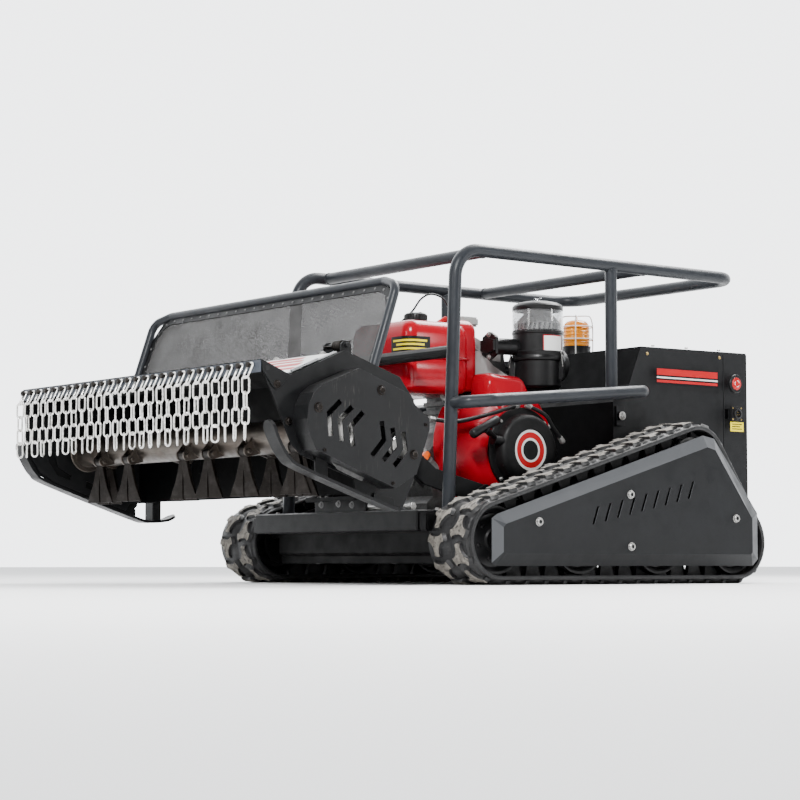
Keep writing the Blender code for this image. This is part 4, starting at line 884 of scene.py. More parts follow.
def make_beacon():
    centre = Vector((-0.08, 0.73, 0.0))
    low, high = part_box("beacon_base")
    floor = low[2]
    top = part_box("beacon_lens")[1][2]
    bm = bmesh.new()
    add_turned(bm, [(floor, 0.0), (floor, 0.058), (floor + 0.005, 0.0585), (floor + 0.008, 0.056),
                    (floor + 0.012, 0.048), (0.768, 0.046), (0.772, 0.0475), (0.777, 0.0475), (0.777, 0.0)],
               centre, axis="Z", sides=44)
    crown = high[2] - 0.0022
    guard = bmesh.new()
    for angle in circle(4, 0.5):
        out = outward(angle)
        path = smooth_path([centre + out * 0.0535 + Vector((0, 0, floor + 0.006)),
                            centre + out * 0.054 + Vector((0, 0, 0.8)),
                            centre + out * 0.0535 + Vector((0, 0, 0.845)),
                            centre + out * 0.047 + Vector((0, 0, crown - 0.006)),
                            centre + out * 0.034 + Vector((0, 0, crown)),
                            centre + out * 0.004 + Vector((0, 0, crown))], 5)
        add_tube(guard, path, 0.0019, 8)
    for z in (0.8, 0.842):
        ring = [centre + outward(t) * 0.054 + Vector((0, 0, z))
                for t in circle(40)]
        add_tube(guard, ring, 0.0018, 8, closed=True)
    piece("beacon_foot", bm, "plastic", "beacon_base")
    piece("beacon_guard", guard, "white", slot="bare_steel")
    bm = bmesh.new()
    add_turned(bm, [(0.7775, 0.0), (0.7775, 0.043), (0.782, 0.044), (0.84, 0.0435), (0.852, 0.04),
                    (0.86, 0.032), (top - 0.0008, 0.018), (top, 0.0)], centre, axis="Z", sides=48)
    for k in range(5):
        z = 0.79 + 0.012 * k
        add_turned(bm, [(-0.0022, 0.0434), (0.0, 0.045), (0.0022, 0.0434)], centre + Vector((0, 0, z)),
                   axis="Z",
                   sides=48)
    piece("beacon_dome", bm, "amber", "beacon_lens")
    bm = bmesh.new()
    for dx, dy in ((0.045, 0.03), (-0.045, 0.03), (0.0, -0.052)):
        add_socket_screw(bm, centre + Vector((dx, dy, floor + 0.0045)), (0, 0, 1), 0.0042, 0.003)
    piece("beacon_screws", bm, "silver")


make_cage()
make_stop_button()
make_socket()
make_cabinet_labels()
make_cabinet_screws()
make_cabinet_folds()
make_door_fittings()
make_beacon()
repaint("cabinet", "cabinet_body", "cabinet_door", "control_unit")
repaint("paint", "battery", "cage_lower_cross_tube", "lift_arms")


# ---------------------------------------------------------------- engine

CRANK = Vector((0.0, 0.215, 0.403))
FILTER = Vector((0.183, 0.33, 0.0))
TANK_BEND = 0.036
SHROUD_EYE = (0.15, 0.415)
# oil filler: where its orange plug sits, and the way it points
PLUG, PLUG_LEAN = Vector((0.148, -0.094, 0.378)), Vector((0, -0.773, 0.634))


def swept_blob(bm, low, high, corner, levels, sides=48):
    """A rounded-rectangle shell: levels are (height, how far its outline draws in)."""
    rings = []
    for z, inset in levels:
        x0, y0, x1, y1 = low[0] + inset, low[1] + inset, high[0] - inset, high[1] - inset
        bend = max(0.004, corner - inset * 0.5)
        ring = []
        for cx, cy, start in ((x1 - bend, y1 - bend, 0), (x0 + bend, y1 - bend, 90),
                              (x0 + bend, y0 + bend, 180),
                              (x1 - bend, y0 + bend, 270)):
            for point in arc((cx, cy), bend, start, start + 90, sides // 4 - 1):
                ring.append(bm.verts.new((*point, z)))
        rings.append(ring)
    join_rings(bm, rings)


def make_tank():
    low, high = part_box("fuel_tank")
    low, high = low + Vector((0.007, 0.0, 0.0)), Vector((high.x - 0.007, 0.084, high.z))
    bm = bmesh.new()
    swept_blob(bm, low, high, TANK_BEND, [(0.57, 0.032), (0.5735, 0.018), (0.58, 0.008), (0.592, 0.002),
                                          (0.64, 0.0), (0.68, 0.0), (0.6815, 0.001), (0.683, 0.0006),
                                          (0.75, 0.001), (0.768, 0.004), (0.78, 0.01), (0.7875, 0.019),
                                          (0.792, 0.033), (0.7935, 0.055)], 64)
    swept_blob(bm, Vector((0.084, 0.02, 0.0)), Vector((0.15, 0.119, 0.0)), 0.026,
               [(0.582, 0.012), (0.586, 0.004), (0.592, 0.0), (0.77, 0.0), (0.786, 0.004), (0.796, 0.011),
                (0.8025, 0.022)], 40)
    piece("tank_shell", bm, "red", "fuel_tank", angle=60)
    # the pressed seam flange round the tank's middle
    bm = bmesh.new()
    swept_blob(bm, low - Vector((0.006, 0.006, 0)), high + Vector((0.006, 0.006, 0)), TANK_BEND + 0.004,
               [(0.6772, 0.004), (0.6776, 0.0005), (0.679, 0.0), (0.6812, 0.0), (0.6826, 0.0005),
                (0.683, 0.004)], 64)
    piece("tank_seam", bm, "red", angle=40)
    # a plain dark patch with yellow bars, wrapped round the tank's near front corner
    def wrapped(first_x, last_y, lift, z0, z1):
        bend = TANK_BEND + lift
        centre = (high.x - TANK_BEND, low.y + TANK_BEND)
        outer = [(first_x, low.y - lift)] + arc(centre, bend, -90, 0, 10) + [(high.x + lift, last_y)]
        inner = [(first_x, low.y + 0.002)] + arc(centre, TANK_BEND - 0.002, -90, 0,
                                                 10) + [(high.x - 0.002, last_y)]
        bm = bmesh.new()
        add_prism(bm, outer + inner[::-1], z0, z1, "Z")
        return bm

    piece("tank_patch", wrapped(0.075, -0.078, 0.0006, 0.69, 0.74), "plastic")
    for k, (z, first, last) in enumerate(((0.727, 0.085, -0.09), (0.715, 0.1, -0.1), (0.702, 0.085, -0.09))):
        piece("tank_patch_bar_%d" % k, wrapped(first, last, 0.0012, z - 0.0032, z + 0.0032), "yellow",
              slot="black_plastic")
    # the filler neck and its ribbed cap
    spot = pivot("fuel_cap_twist")
    bm = bmesh.new()
    add_turned(bm, [(-0.014, 0.032), (-0.009, 0.031), (-0.006, 0.026), (-0.0004, 0.0255), (-0.0004, 0.0)],
               spot, axis="Z", sides=40)
    piece("filler_neck", bm, "red")
    bm = bmesh.new()
    add_turned(bm, [(0.0, 0.0), (0.0, 0.0335), (0.002, 0.035), (0.018, 0.035), (0.022, 0.0335),
                    (0.025, 0.029),
                    (0.0262, 0.022), (0.0262, 0.0)], spot, axis="Z", sides=60)
    for angle in circle(30):
        foot = spot + Vector((0.0348 * math.cos(angle), 0.0348 * math.sin(angle), 0.002))
        add_rod(bm, foot, foot + Vector((0, 0, 0.0175)), 0.0014, 6)
    add_box(bm, spot + Vector((-0.028, -0.0045, 0.024)), spot + Vector((0.028, 0.0045, 0.0272)), 0.0012)
    piece("cap_ribbed", bm, "plastic", "fuel_cap", body="fuel_cap", angle=30)


def make_shroud():
    low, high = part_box("fan_shroud")
    outline = arc(SHROUD_EYE, 0.208, -58, 52, 40) + [(0.252, 0.598), (0.236, 0.626), (0.222, 0.633),
                                                         (0.11, 0.638), (0.098, 0.632), (0.091, 0.615),
                                                         (0.088, 0.575)]
    outline += arc(SHROUD_EYE, 0.21, 147, 232, 32)
    outline = [(min(max(y, low[1] + 0.001), high[1] - 0.001), z) for y, z in outline]
    middle = (0.15, 0.42)
    x0, x1 = low[0], high[0]

    def drawn(share):
        return [(middle[0] + (y - middle[0]) * share, middle[1] + (z - middle[1]) * share) for y,
                z in outline]

    eye = [(CRANK.y + 0.088 * math.cos(math.atan2(z - CRANK.z, y - CRANK.y)),
            CRANK.z + 0.088 * math.sin(math.atan2(z - CRANK.z, y - CRANK.y))) for y, z in outline]
    bm = bmesh.new()
    rings = [[bm.verts.new((x, y, z)) for y, z in points] for points, x in (
        (drawn(1.0), x0), (drawn(1.0), x0 + 0.05), (drawn(0.99), x1 - 0.02), (drawn(0.955), x1 - 0.006),
        (drawn(0.9), x1), (eye, x1), (eye, x1 - 0.004), (drawn(0.88), x1 - 0.004), (drawn(0.955), x1 - 0.024),
        (drawn(0.965), x0))]
    join_rings(bm, rings, around=True)
    piece("shroud_shell", bm, "red", "fan_shroud", angle=45)
    # rim screws of the shroud
    bm = bmesh.new()
    for angle in (-35, 20, 185, 220):
        y = SHROUD_EYE[0] + 0.2 * math.cos(math.radians(angle))
        z = SHROUD_EYE[1] + 0.2 * math.sin(math.radians(angle))
        add_bolt(bm, (x1 - 0.008, y, z), (1, 0, 0), 0.006, 0.009, 0.006)
    piece("shroud_bolts", bm, "silver")


def make_starter():
    low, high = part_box("recoil_cover")
    x0, x1 = low[0], high[0]
    bm = bmesh.new()
    add_turned(bm, [(x0, 0.1), (x0, 0.13), (x0 + 0.002, 0.132), (x0 + 0.008, 0.132), (x0 + 0.01, 0.13),
                    (x0 + 0.013, 0.1135), (x1 - 0.012, 0.109), (x1 - 0.006, 0.105), (x1 - 0.0015, 0.097),
                    (x1, 0.09), (x1, 0.064), (x1 - 0.003, 0.062), (x1 - 0.003, 0.0305), (x1 - 0.0012, 0.029),
                    (x1 - 0.0012, 0.0), (x1 - 0.009, 0.0), (x1 - 0.009, 0.088), (x1 - 0.02, 0.099)],
               (0, CRANK.y, CRANK.z), sides=72, closed=True)
    spout = Vector((x1 - 0.02, CRANK.y - 0.08, CRANK.z + 0.022))
    add_rod(bm, spout, (x1 - 0.02, CRANK.y - 0.1355, CRANK.z + 0.028), 0.0155, 28, chamfer=0.0015)
    # cooling slots around the cover's shoulder
    slots = bmesh.new()
    for angle in circle(22, 0.5):
        if 150 < math.degrees(angle) < 190:
            continue
        along = Vector((0, -math.sin(angle), math.cos(angle)))
        out = Vector((0, math.cos(angle), math.sin(angle)))
        spot = Vector((x0 + 0.03, CRANK.y, CRANK.z)) + out * 0.1065
        add_rod(slots, spot - Vector((0.01, 0, 0)) + along * 0.003,
                spot + Vector((0.008, 0, 0)) + along * 0.003,
                0.0042, 10)
    piece("starter_cup", bm, "starter", "recoil_cover", angle=30)
    piece("starter_ribs", slots, "plastic")
    # plain ring decal, red between two white lines
    for name, rings, look in (("ring_white", ((0.0625, 0.0545), (0.037, 0.029)), "white"),
                              ("ring_red", ((0.0545, 0.037),), "red_film")):
        bm = bmesh.new()
        for outer, inner in rings:
            add_turned(bm, [(x1 - 0.0032, outer), (x1 - 0.0022, outer), (x1 - 0.0022, inner),
                            (x1 - 0.0032, inner)],
                       (0, CRANK.y, CRANK.z), sides=72, closed=True)
        piece("starter_" + name, bm, look, slot="black_plastic")
    bm = bmesh.new()
    for angle in circle(4, 0.5):
        add_bolt(bm, (x0 + 0.0095, CRANK.y + 0.1225 * math.cos(angle), CRANK.z + 0.1225 * math.sin(angle)),
                 (1, 0, 0), 0.005, 0.0072, 0.005)
    piece("starter_bolts", bm, "silver")
    # T handle with the short sleeve below it
    grip_a, grip_b = Vector((0.3, -0.032, 0.441)), Vector((0.3, 0.069, 0.49))
    along = (grip_b - grip_a).normalized()
    length = (grip_b - grip_a).length
    bm = bmesh.new()
    add_turned(bm, [(0.0, 0.01), (0.001, 0.0125), (0.006, 0.0148), (length / 2, 0.013),
                    (length - 0.006, 0.0148),
                    (length - 0.001, 0.0125), (length, 0.01)], grip_a, sides=28, spin=along)
    middle = (grip_a + grip_b) / 2 + Vector((0, 0.004, -0.008))
    foot = Vector((0.276, CRANK.y - 0.1385, CRANK.z + 0.034))
    lead = (foot - middle).normalized()
    add_turned(bm, [(-0.004, 0.012), (0.01, 0.01), ((foot - middle).length - 0.004, 0.0078),
                    ((foot - middle).length, 0.007)], middle, sides=24, spin=lead)
    for k in range(3):
        spot = middle + lead * (0.014 + 0.006 * k)
        add_turned(bm, [(-0.0012, 0.0088), (0.0, 0.01), (0.0012, 0.0088)], spot, sides=24, spin=lead)
    piece("starter_grip", bm, "plastic", "starter_handle", body="starter_handle")


def make_block():
    # ribs, flange and bolts on the crankcase, which is shown as it is
    bm = bmesh.new()
    front = -0.0735
    for k in range(6):
        x = -0.125 + 0.048 * k
        add_box(bm, (x, front - 0.005, 0.3), (x + 0.006, front + 0.004, 0.396), 0.0012)
    for z in (0.318, 0.35, 0.384):
        add_box(bm, (-0.135, front - 0.004, z), (0.135, front + 0.004, z + 0.006), 0.0012)
    add_box(bm, (-0.152, -0.083, 0.2068), (0.152, 0.3585, 0.22), 0.003)
    add_rod(bm, (PLUG.x, -0.05, 0.342), PLUG, 0.0165, 24, end_radius=0.015)
    add_turned(bm, [(-0.004, 0.0165), (0.0, 0.018), (0.004, 0.0165)], (PLUG.x, -0.078, 0.3649), sides=24,
               spin=PLUG_LEAN)
    piece("case_ribs", bm, "grey", slot="cast_metal")
    bm = bmesh.new()
    for x in (-0.12, -0.04, 0.04, 0.12):
        add_bolt(bm, (x, -0.079, 0.22), (0, 0, 1), 0.0065, 0.01, 0.006)
    for x, z in ((-0.125, 0.3), (0.06, 0.3), (-0.125, 0.396), (0.128, 0.396)):
        add_bolt(bm, (x, -0.0725, z), (0, -1, 0), 0.006, 0.009, 0.005)
    piece("case_bolts", bm, "silver")
    # orange filler plug with its grip
    bm = bmesh.new()
    spin, spot = PLUG_LEAN, PLUG
    add_turned(bm, [(-0.002, 0.019), (0.0, 0.0215), (0.007, 0.0215), (0.009, 0.0185), (0.01, 0.0)],
               spot - spin * 0.004, sides=24, spin=spin)
    side = Vector((1, 0, 0))
    up = spin.cross(side)
    corners = []
    for a, b in ((-0.012, -0.002), (0.012, -0.002), (0.012, 0.002), (-0.012, 0.002)):
        corners.append((spot + side * a + up * b, spot + side * a * 0.8 + up * b + spin * 0.008))
    join_rings(bm, [[bm.verts.new(point) for point in ring] for ring in zip(*corners)])
    piece("oil_plug", bm, "orange")


def make_muffler():
    low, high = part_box("muffler")
    centre = Vector((0, 0.215, 0.745))
    bm = bmesh.new()
    add_turned(bm, [(low[0], 0.0), (low[0], 0.052), (low[0] + 0.003, 0.056), (low[0] + 0.012, 0.064),
                    (low[0] + 0.016, 0.0655), (high[0] - 0.016, 0.0655), (high[0] - 0.012, 0.064),
                    (high[0] - 0.003, 0.056), (high[0], 0.052), (high[0], 0.0)], centre, sides=56)
    for k in range(4):
        x = low[0] + 0.03 + 0.024 * k
        add_turned(bm, [(x - 0.004, 0.065), (x - 0.002, 0.0662), (x + 0.002, 0.0662), (x + 0.004, 0.065)],
                   centre, sides=56)
    piece("muffler_can", bm, "steel", "muffler")


def make_air_cleaner():
    bm = bmesh.new()
    add_turned(bm, [(0.598, 0.0), (0.598, 0.06), (0.602, 0.067), (0.608, 0.0725), (0.684, 0.0732),
                    (0.687, 0.079), (0.69, 0.0803), (0.697, 0.0803), (0.699, 0.079), (0.705, 0.079),
                    (0.707, 0.0803), (0.714, 0.0803), (0.716, 0.0785), (0.768, 0.0785), (0.77, 0.0803),
                    (0.7765, 0.0803), (0.777, 0.078), (0.777, 0.0)], FILTER, axis="Z", sides=64)
    elbow = smooth_path([(0.165, 0.275, 0.728), (0.16, 0.23, 0.728), (0.15, 0.172, 0.728)], 6)
    add_tube(bm, elbow, 0.0255, 28)
    for share in (0.35, 0.6):
        spot = Vector(elbow[int(share * (len(elbow) - 1))])
        add_turned(bm, [(-0.003, 0.024), (-0.001, 0.0258), (0.001, 0.0258), (0.003, 0.024)], spot, sides=28,
                   spin=(0.1, 1, 0))
    add_prism(bm, [(0.118, 0.703), (0.122, 0.698), (0.147, 0.685), (0.153, 0.685), (0.178, 0.698),
                   (0.182, 0.703),
                   (0.182, 0.753), (0.178, 0.758), (0.153, 0.771), (0.147, 0.771), (0.122, 0.758),
                   (0.118, 0.753)], 0.16, 0.17, "Y")
    add_prism(bm, [(0.15 + 0.004 + 0.026, 0.712), (0.15 + 0.03, 0.744), (0.15, 0.752), (0.118, 0.744),
                   (0.118, 0.712), (0.15, 0.704)], 0.152, 0.1605, "Y")
    piece("filter_can", bm, "plastic", "air_cleaner")
    bm = bmesh.new()
    for x, z in ((0.15, 0.763), (0.15, 0.693)):
        add_bolt(bm, (x, 0.16, z), (0, -1, 0), 0.0058, 0.0085, 0.006)
    piece("flange_bolts", bm, "silver")


def make_filter_latches():
    """Lever latches over the clamp ring, each with its wire."""
    bm, wires = bmesh.new(), bmesh.new()
    for angle in (-126, 24, 160):
        out = outward(math.radians(angle))
        side = Vector((-out.y, out.x, 0))
        outline = [(0.0735, 0.628), (0.085, 0.626), (0.09, 0.634), (0.0885, 0.652), (0.0925, 0.668),
                   (0.0905, 0.69), (0.0855, 0.704), (0.08, 0.704), (0.08, 0.69), (0.076, 0.68)]
        rings = [[bm.verts.new(FILTER + out * r + side * s + Vector((0, 0, z))) for r, z in outline]
                 for s in (-0.0075, 0.0075)]
        join_rings(bm, rings)
        loop = [FILTER + out * 0.089 + side * 0.0095 + Vector((0, 0, 0.668)),
                FILTER + out * 0.084 + side * 0.0095 + Vector((0, 0, 0.716)),
                FILTER + out * 0.0835 - side * 0.0095 + Vector((0, 0, 0.716)),
                FILTER + out * 0.089 - side * 0.0095 + Vector((0, 0, 0.668))]
        add_tube(wires, loop, 0.0014, 8)
        add_rod(wires, loop[0] + side * 0.001, loop[-1] - side * 0.001, 0.002, 10)
    piece("filter_levers", bm, "plastic")
    piece("filter_latches", wires, "silver")


def make_filter_label():
    """A bordered label without text."""
    for name, reach, half, z0, z1, look in (("edge", 0.079, 27, 0.708, 0.7625, "red_film"),
                                            ("face", 0.0794, 25, 0.7105, 0.76, "white")):
        bm = bmesh.new()
        columns = []
        for k in range(13):
            angle = math.radians(-2 - half + 2 * half * k / 12)
            out = outward(angle)
            columns.append([bm.verts.new(FILTER + out * r + Vector((0, 0, z)))
                            for r, z in ((reach - 0.001, z0), (reach, z0), (reach, z1), (reach - 0.001, z1))])
        join_rings(bm, columns)
        piece("filter_label_" + name, bm, look, slot="black_plastic")


def make_bowl():
    """The clear bowl with its core and vanes, and the domed cap with a wing nut."""
    low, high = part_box("precleaner_bowl")
    z0, z1 = low[2], high[2]
    bm = bmesh.new()
    add_turned(bm, [(z0, 0.0745), (z0, 0.0775), (z0 + 0.03, 0.0785), (z0 + 0.066, 0.078),
                    (z0 + 0.066, 0.0758),
                    (z0 + 0.03, 0.0763)], FILTER, axis="Z", sides=64, closed=True)
    piece("bowl_wall", bm, "clear", "precleaner_bowl")
    bm = bmesh.new()
    add_turned(bm, [(z0 + 0.0002, 0.0), (z0 + 0.0002, 0.0725), (z0 + 0.026, 0.0715), (z0 + 0.028, 0.061),
                    (z0 + 0.04, 0.056), (z0 + 0.043, 0.046), (z0 + 0.064, 0.043), (z0 + 0.064, 0.0)],
               FILTER, axis="Z", sides=60)
    for angle in circle(12, 0.5):
        out = outward(angle)
        add_rod(bm, FILTER + out * 0.07 + Vector((0, 0, z0 + 0.025)),
                FILTER + out * 0.044 + Vector((0, 0, z0 + 0.052)), 0.0022, 8)
    piece("bowl_core", bm, "pale")
    bm = bmesh.new()
    for angle in circle(30):
        out = outward(angle)
        side = Vector((-out.y, out.x, 0)) * 0.0036
        lean = Vector((-out.y, out.x, 0)) * 0.0015
        corners = []
        for reach, z, shift in ((0.069, z0 + 0.0035, -1), (0.074, z0 + 0.0035, -1), (0.0735, z0 + 0.0235, 1),
                                (0.069, z0 + 0.0235, 1)):
            spot = FILTER + out * reach + Vector((0, 0, z)) + lean * shift
            corners.append((bm.verts.new(spot - side), bm.verts.new(spot + side)))
        join_rings(bm, list(zip(*corners)))
    add_turned(bm, [(z1 - 0.033, 0.07), (z1 - 0.033, 0.0783), (z1 - 0.0315, 0.0792), (z1 - 0.0225, 0.0792),
                    (z1 - 0.0205, 0.0775), (z1 - 0.016, 0.074), (z1 - 0.0105, 0.062), (z1 - 0.006, 0.042),
                    (z1 - 0.004, 0.02), (z1 - 0.0036, 0.0)], FILTER, axis="Z", sides=64)
    for z in (z0 + 0.001, z1 - 0.035):
        add_turned(bm, [(z, 0.0762), (z, 0.079), (z + 0.002, 0.079), (z + 0.002, 0.0762)], FILTER, axis="Z",
                   sides=64, closed=True)
    piece("bowl_slots_and_cap", bm, "plastic")
    bm = bmesh.new()
    add_turned(bm, [(z1 - 0.004, 0.007), (z1 - 0.0025, 0.007), (z1 - 0.0022, 0.0038), (z1 + 0.003, 0.0034),
                    (z1 + 0.0045, 0.0022), (z1 + 0.0045, 0.0)], FILTER, axis="Z", sides=24)
    for sign in (-1, 1):
        path = [FILTER + Vector((sign * 0.002, sign * 0.0012, z1 + 0.0)),
                FILTER + Vector((sign * 0.008, sign * 0.0038, z1 + 0.0025)),
                FILTER + Vector((sign * 0.011, sign * 0.005, z1 + 0.006)),
                FILTER + Vector((sign * 0.0072, sign * 0.0036, z1 + 0.0062)),
                FILTER + Vector((sign * 0.0025, sign * 0.0012, z1 + 0.0025))]
        add_tube(bm, smooth_path(path, 4), 0.0011, 8)
    piece("bowl_wing_nut", bm, "chrome")


def make_filter_duct():
    """The black housing disc behind the can, and its duct."""
    bm = bmesh.new()
    add_turned(bm, [(0.0, 0.0), (0.0, 0.048), (0.004, 0.052), (0.02, 0.052), (0.024, 0.048), (0.024, 0.0)],
               (0.15, 0.425, 0.68), axis="Y", sides=48)
    add_rod(bm, (0.15, 0.4, 0.69), (0.165, 0.35, 0.7), 0.02, 20)
    piece("filter_duct", bm, "plastic")


def held_hose(name, points, radius, look="hose", slot="black_plastic", ferrule=True):
    """A hose or cable along smooth bends, with a metal ferrule at both ends."""
    path = smooth_path(points, 10)
    bm = bmesh.new()
    add_tube(bm, path, radius, 16)
    piece(name, bm, look, slot=slot, angle=60)
    if ferrule:
        bm = bmesh.new()
        for start, after in ((path[0], path[2]), (path[-1], path[-3])):
            lead = (after - start).normalized()
            add_turned(bm, [(-0.006, radius * 1.05), (-0.006, radius * 1.5), (0.004, radius * 1.5),
                            (0.006, radius * 1.3), (0.014, radius * 1.3), (0.0145, radius * 1.05)],
                       start, sides=6, spin=lead)
        piece(name + "_ferrules", bm, "silver")


def make_hoses():
    held_hose("starter_hose", [(0.262, -0.158, 0.484), (0.262, -0.062, 0.48), (0.262, 0.058, 0.505),
                               (0.262, 0.129, 0.525), (0.25, 0.188, 0.54)], 0.0062)
    held_hose("return_hose", [(0.25, 0.228, 0.542), (0.262, 0.289, 0.514), (0.262, 0.321, 0.478),
                              (0.258, 0.362, 0.437)], 0.0062)
    held_hose("fuel_line", [(0.12, 0.0, 0.565), (0.128, 0.01, 0.545), (0.12, 0.06, 0.54),
                            (0.11, 0.1, 0.56), (0.1, 0.118, 0.6)], 0.0042)
    held_hose("throttle_cable", [(0.0, -0.075, 0.792), (0.0, -0.05, 0.812), (0.0, -0.02, 0.838),
                                 (0.0, 0.012, 0.876), (0.0, 0.049, 0.894), (0.0, 0.091, 0.888),
                                 (0.0, 0.115, 0.868), (0.0, 0.15, 0.815)], 0.0032)
    # bright cover over the cylinder head, its fin and its cap, and the throttle fitting
    bm = bmesh.new()
    add_prism(bm, [(0.113, 0.717), (0.159, 0.712), (0.209, 0.6705), (0.268, 0.6425), (0.268, 0.627),
                   (0.121, 0.6285)], 0.06, 0.114)
    add_prism(bm, [(0.102, 0.778), (0.255, 0.719), (0.255, 0.688), (0.23, 0.69), (0.106, 0.742)], 0.086,
              0.092)
    add_box(bm, (-0.06, 0.192, 0.808), (-0.02, 0.262, 0.838), 0.006)
    piece("head_cowl", bm, "cowl")
    bm = bmesh.new()
    add_rod(bm, (0.02, 0.062, 0.8), (0.02, 0.098, 0.82), 0.009, 16, chamfer=0.002)
    piece("throttle_fitting", bm, "red_film", slot="red_paint")
    held_hose("valve_hose_1", [(-0.2, -0.205, 0.25), (-0.2, -0.16, 0.3), (-0.18, -0.11, 0.33),
                               (-0.14, -0.08, 0.345)], 0.0085)
    held_hose("valve_hose_2", [(-0.24, -0.205, 0.25), (-0.244, -0.15, 0.31), (-0.23, -0.09, 0.37),
                               (-0.17, -0.08, 0.39)], 0.0085)


make_tank()
make_shroud()
make_starter()
make_block()
make_muffler()
make_air_cleaner()
make_filter_latches()
make_filter_label()
make_bowl()
make_filter_duct()
make_hoses()
repaint("cast", "engine_crankcase", "cylinder_head")


# ---------------------------------------------------------------- mowing deck

ROTOR = Vector((0.0, -0.8, 0.4))
BAR = Vector((0.0, -1.016, 0.585))
PIN_OUT, PIN_DROP = 0.055, 0.035
# places along the rotor, and -1 on its front or 1 on its rear
HINGED_FLAILS = ((-0.45, -1), (-0.15, 1), (0.15, -1), (0.45, 1))
FIXED_FLAILS = ((-0.58, 1), (-0.285, -1), (0.02, -1), (0.3, 1), (0.33, -1), (0.572, -1))


def add_link(bm, middle, turn, length=0.0503, width=0.0242, wire=0.0027):
    """One oval chain link hanging in the upright plane turned about Z, tilted by the last angle."""
    about, lean = turn
    half, bend = (length - width) / 2, width / 2 - wire
    points = []
    for k in range(9):
        angle = math.pi * k / 8
        points.append(Vector((bend * math.cos(angle), 0, half + bend * math.sin(angle))))
    for k in range(9):
        angle = math.pi + math.pi * k / 8
        points.append(Vector((bend * math.cos(angle), 0, -half + bend * math.sin(angle))))
    spin = Matrix.Rotation(lean, 3, "X") @ Matrix.Rotation(about, 3, "Z")
    add_tube(bm, [middle + spin @ p for p in points], wire, 8, closed=True)


def make_curtain():
    rng = random.Random(7)
    chains, heads = bmesh.new(), bmesh.new()
    count, pitch = 27, 0.0395
    for n in range(count):
        x = -0.612 + 1.222 * n / (count - 1)
        about = math.radians(-35) + rng.uniform(-0.45, 0.45)
        # the first link leans out over the bar's edge, round its bolt
        add_link(chains, Vector((x, -1.0322, 0.556)), (rng.uniform(-0.1, 0.1), math.radians(-26)))
        for k in range(4):
            loose = 0.45 if k < 3 else 1.1
            spin = about + (math.pi / 2 if k % 2 == 0 else 0.0) + rng.uniform(-loose, loose)
            spot = Vector((x + rng.uniform(-0.0015, 0.0015), -1.0405 + rng.uniform(-0.001, 0.001),
                           0.518 - pitch * k))
            add_link(chains, spot, (spin, rng.uniform(-0.03, 0.03)))
        add_rod(heads, (x, BAR.y - 0.0005, 0.571), (x, BAR.y - 0.015, 0.571), 0.0045, 10)
        add_turned(heads, [(0.0, 0.0086), (0.0055, 0.0086), (0.007, 0.0072)], (x, BAR.y - 0.0148, 0.571),
                   sides=6,
                   spin=(0, -1, 0))
    piece("curtain_chains", chains, "chain", "chain_curtain", body="chain_curtain", angle=60)
    piece("curtain_bolts", heads, "forged", body="deck")
    bm = bmesh.new()
    # the chain bar, its black paint painted light blue-grey as sky reflection
    add_box(bm, (-0.644, BAR.y - 0.0012, 0.551), (0.644, BAR.y + 0.0012, 0.5825), 0.0006)
    piece("curtain_rail", bm, "rail", body="deck")


def add_flail(bm, x, y, z):
    """A hanging Y flail: an eye on its pin, two forged legs and two flared blades."""
    add_turned(bm, mirrored([(-0.0135, 0.0064), (-0.0135, 0.013), (-0.012, 0.0142)]), (x, y, z), sides=24,
               closed=True)
    for s in (-1, 1):
        rings = []
        for out, drop, half, thick in ((0.006, 0.006, 0.0065, 0.0055), (0.009, 0.028, 0.0095, 0.005),
                                       (0.013, 0.05, 0.012, 0.0045), (0.019, 0.076, 0.015, 0.004),
                                       (0.026, 0.1, 0.0215, 0.0035), (0.031, 0.122, 0.027, 0.0022)):
            middle = x + s * out
            sway = s * 0.004 * (drop / 0.122)
            rings.append([bm.verts.new((middle + dx, y + dy + sway + dx * 0.15, z - drop - abs(dx) * 0.05))
                          for dx, dy in ((-half, -thick), (half, -thick), (half, thick), (-half, thick))])
        join_rings(bm, rings)


def add_lugs(bm, x, facing):
    """The pair of plates welded to the rotor that hold one flail's pin."""
    pin = Vector((ROTOR.y + facing * PIN_OUT, ROTOR.z - PIN_DROP))
    out = (pin - Vector((ROTOR.y, ROTOR.z))).normalized()
    flat = Vector((-out.y, out.x))
    root = Vector((ROTOR.y, ROTOR.z)) + out * 0.035
    head = arc((0, 0), 0.016, -90, 90, 10)
    outline = [tuple(root + flat * 0.026)]
    outline += [tuple(pin + out * u - flat * v) for u, v in head]
    outline += [tuple(root - flat * 0.026)]
    for edge in (-1, 1):
        low = x + edge * 0.0175 - 0.003
        add_prism(bm, outline, low, low + 0.006)
    add_rod(bm, (x - 0.024, *pin), (x + 0.024, *pin), 0.005, 14, chamfer=0.001)
    add_turned(bm, [(0.0, 0.0085), (0.005, 0.0085), (0.006, 0.007)], (x + 0.0206, *pin), sides=6)
    add_turned(bm, [(0.0, 0.0085), (0.005, 0.0085), (0.006, 0.007)], (x - 0.0206, *pin), sides=6,
               spin=(-1, 0, 0))


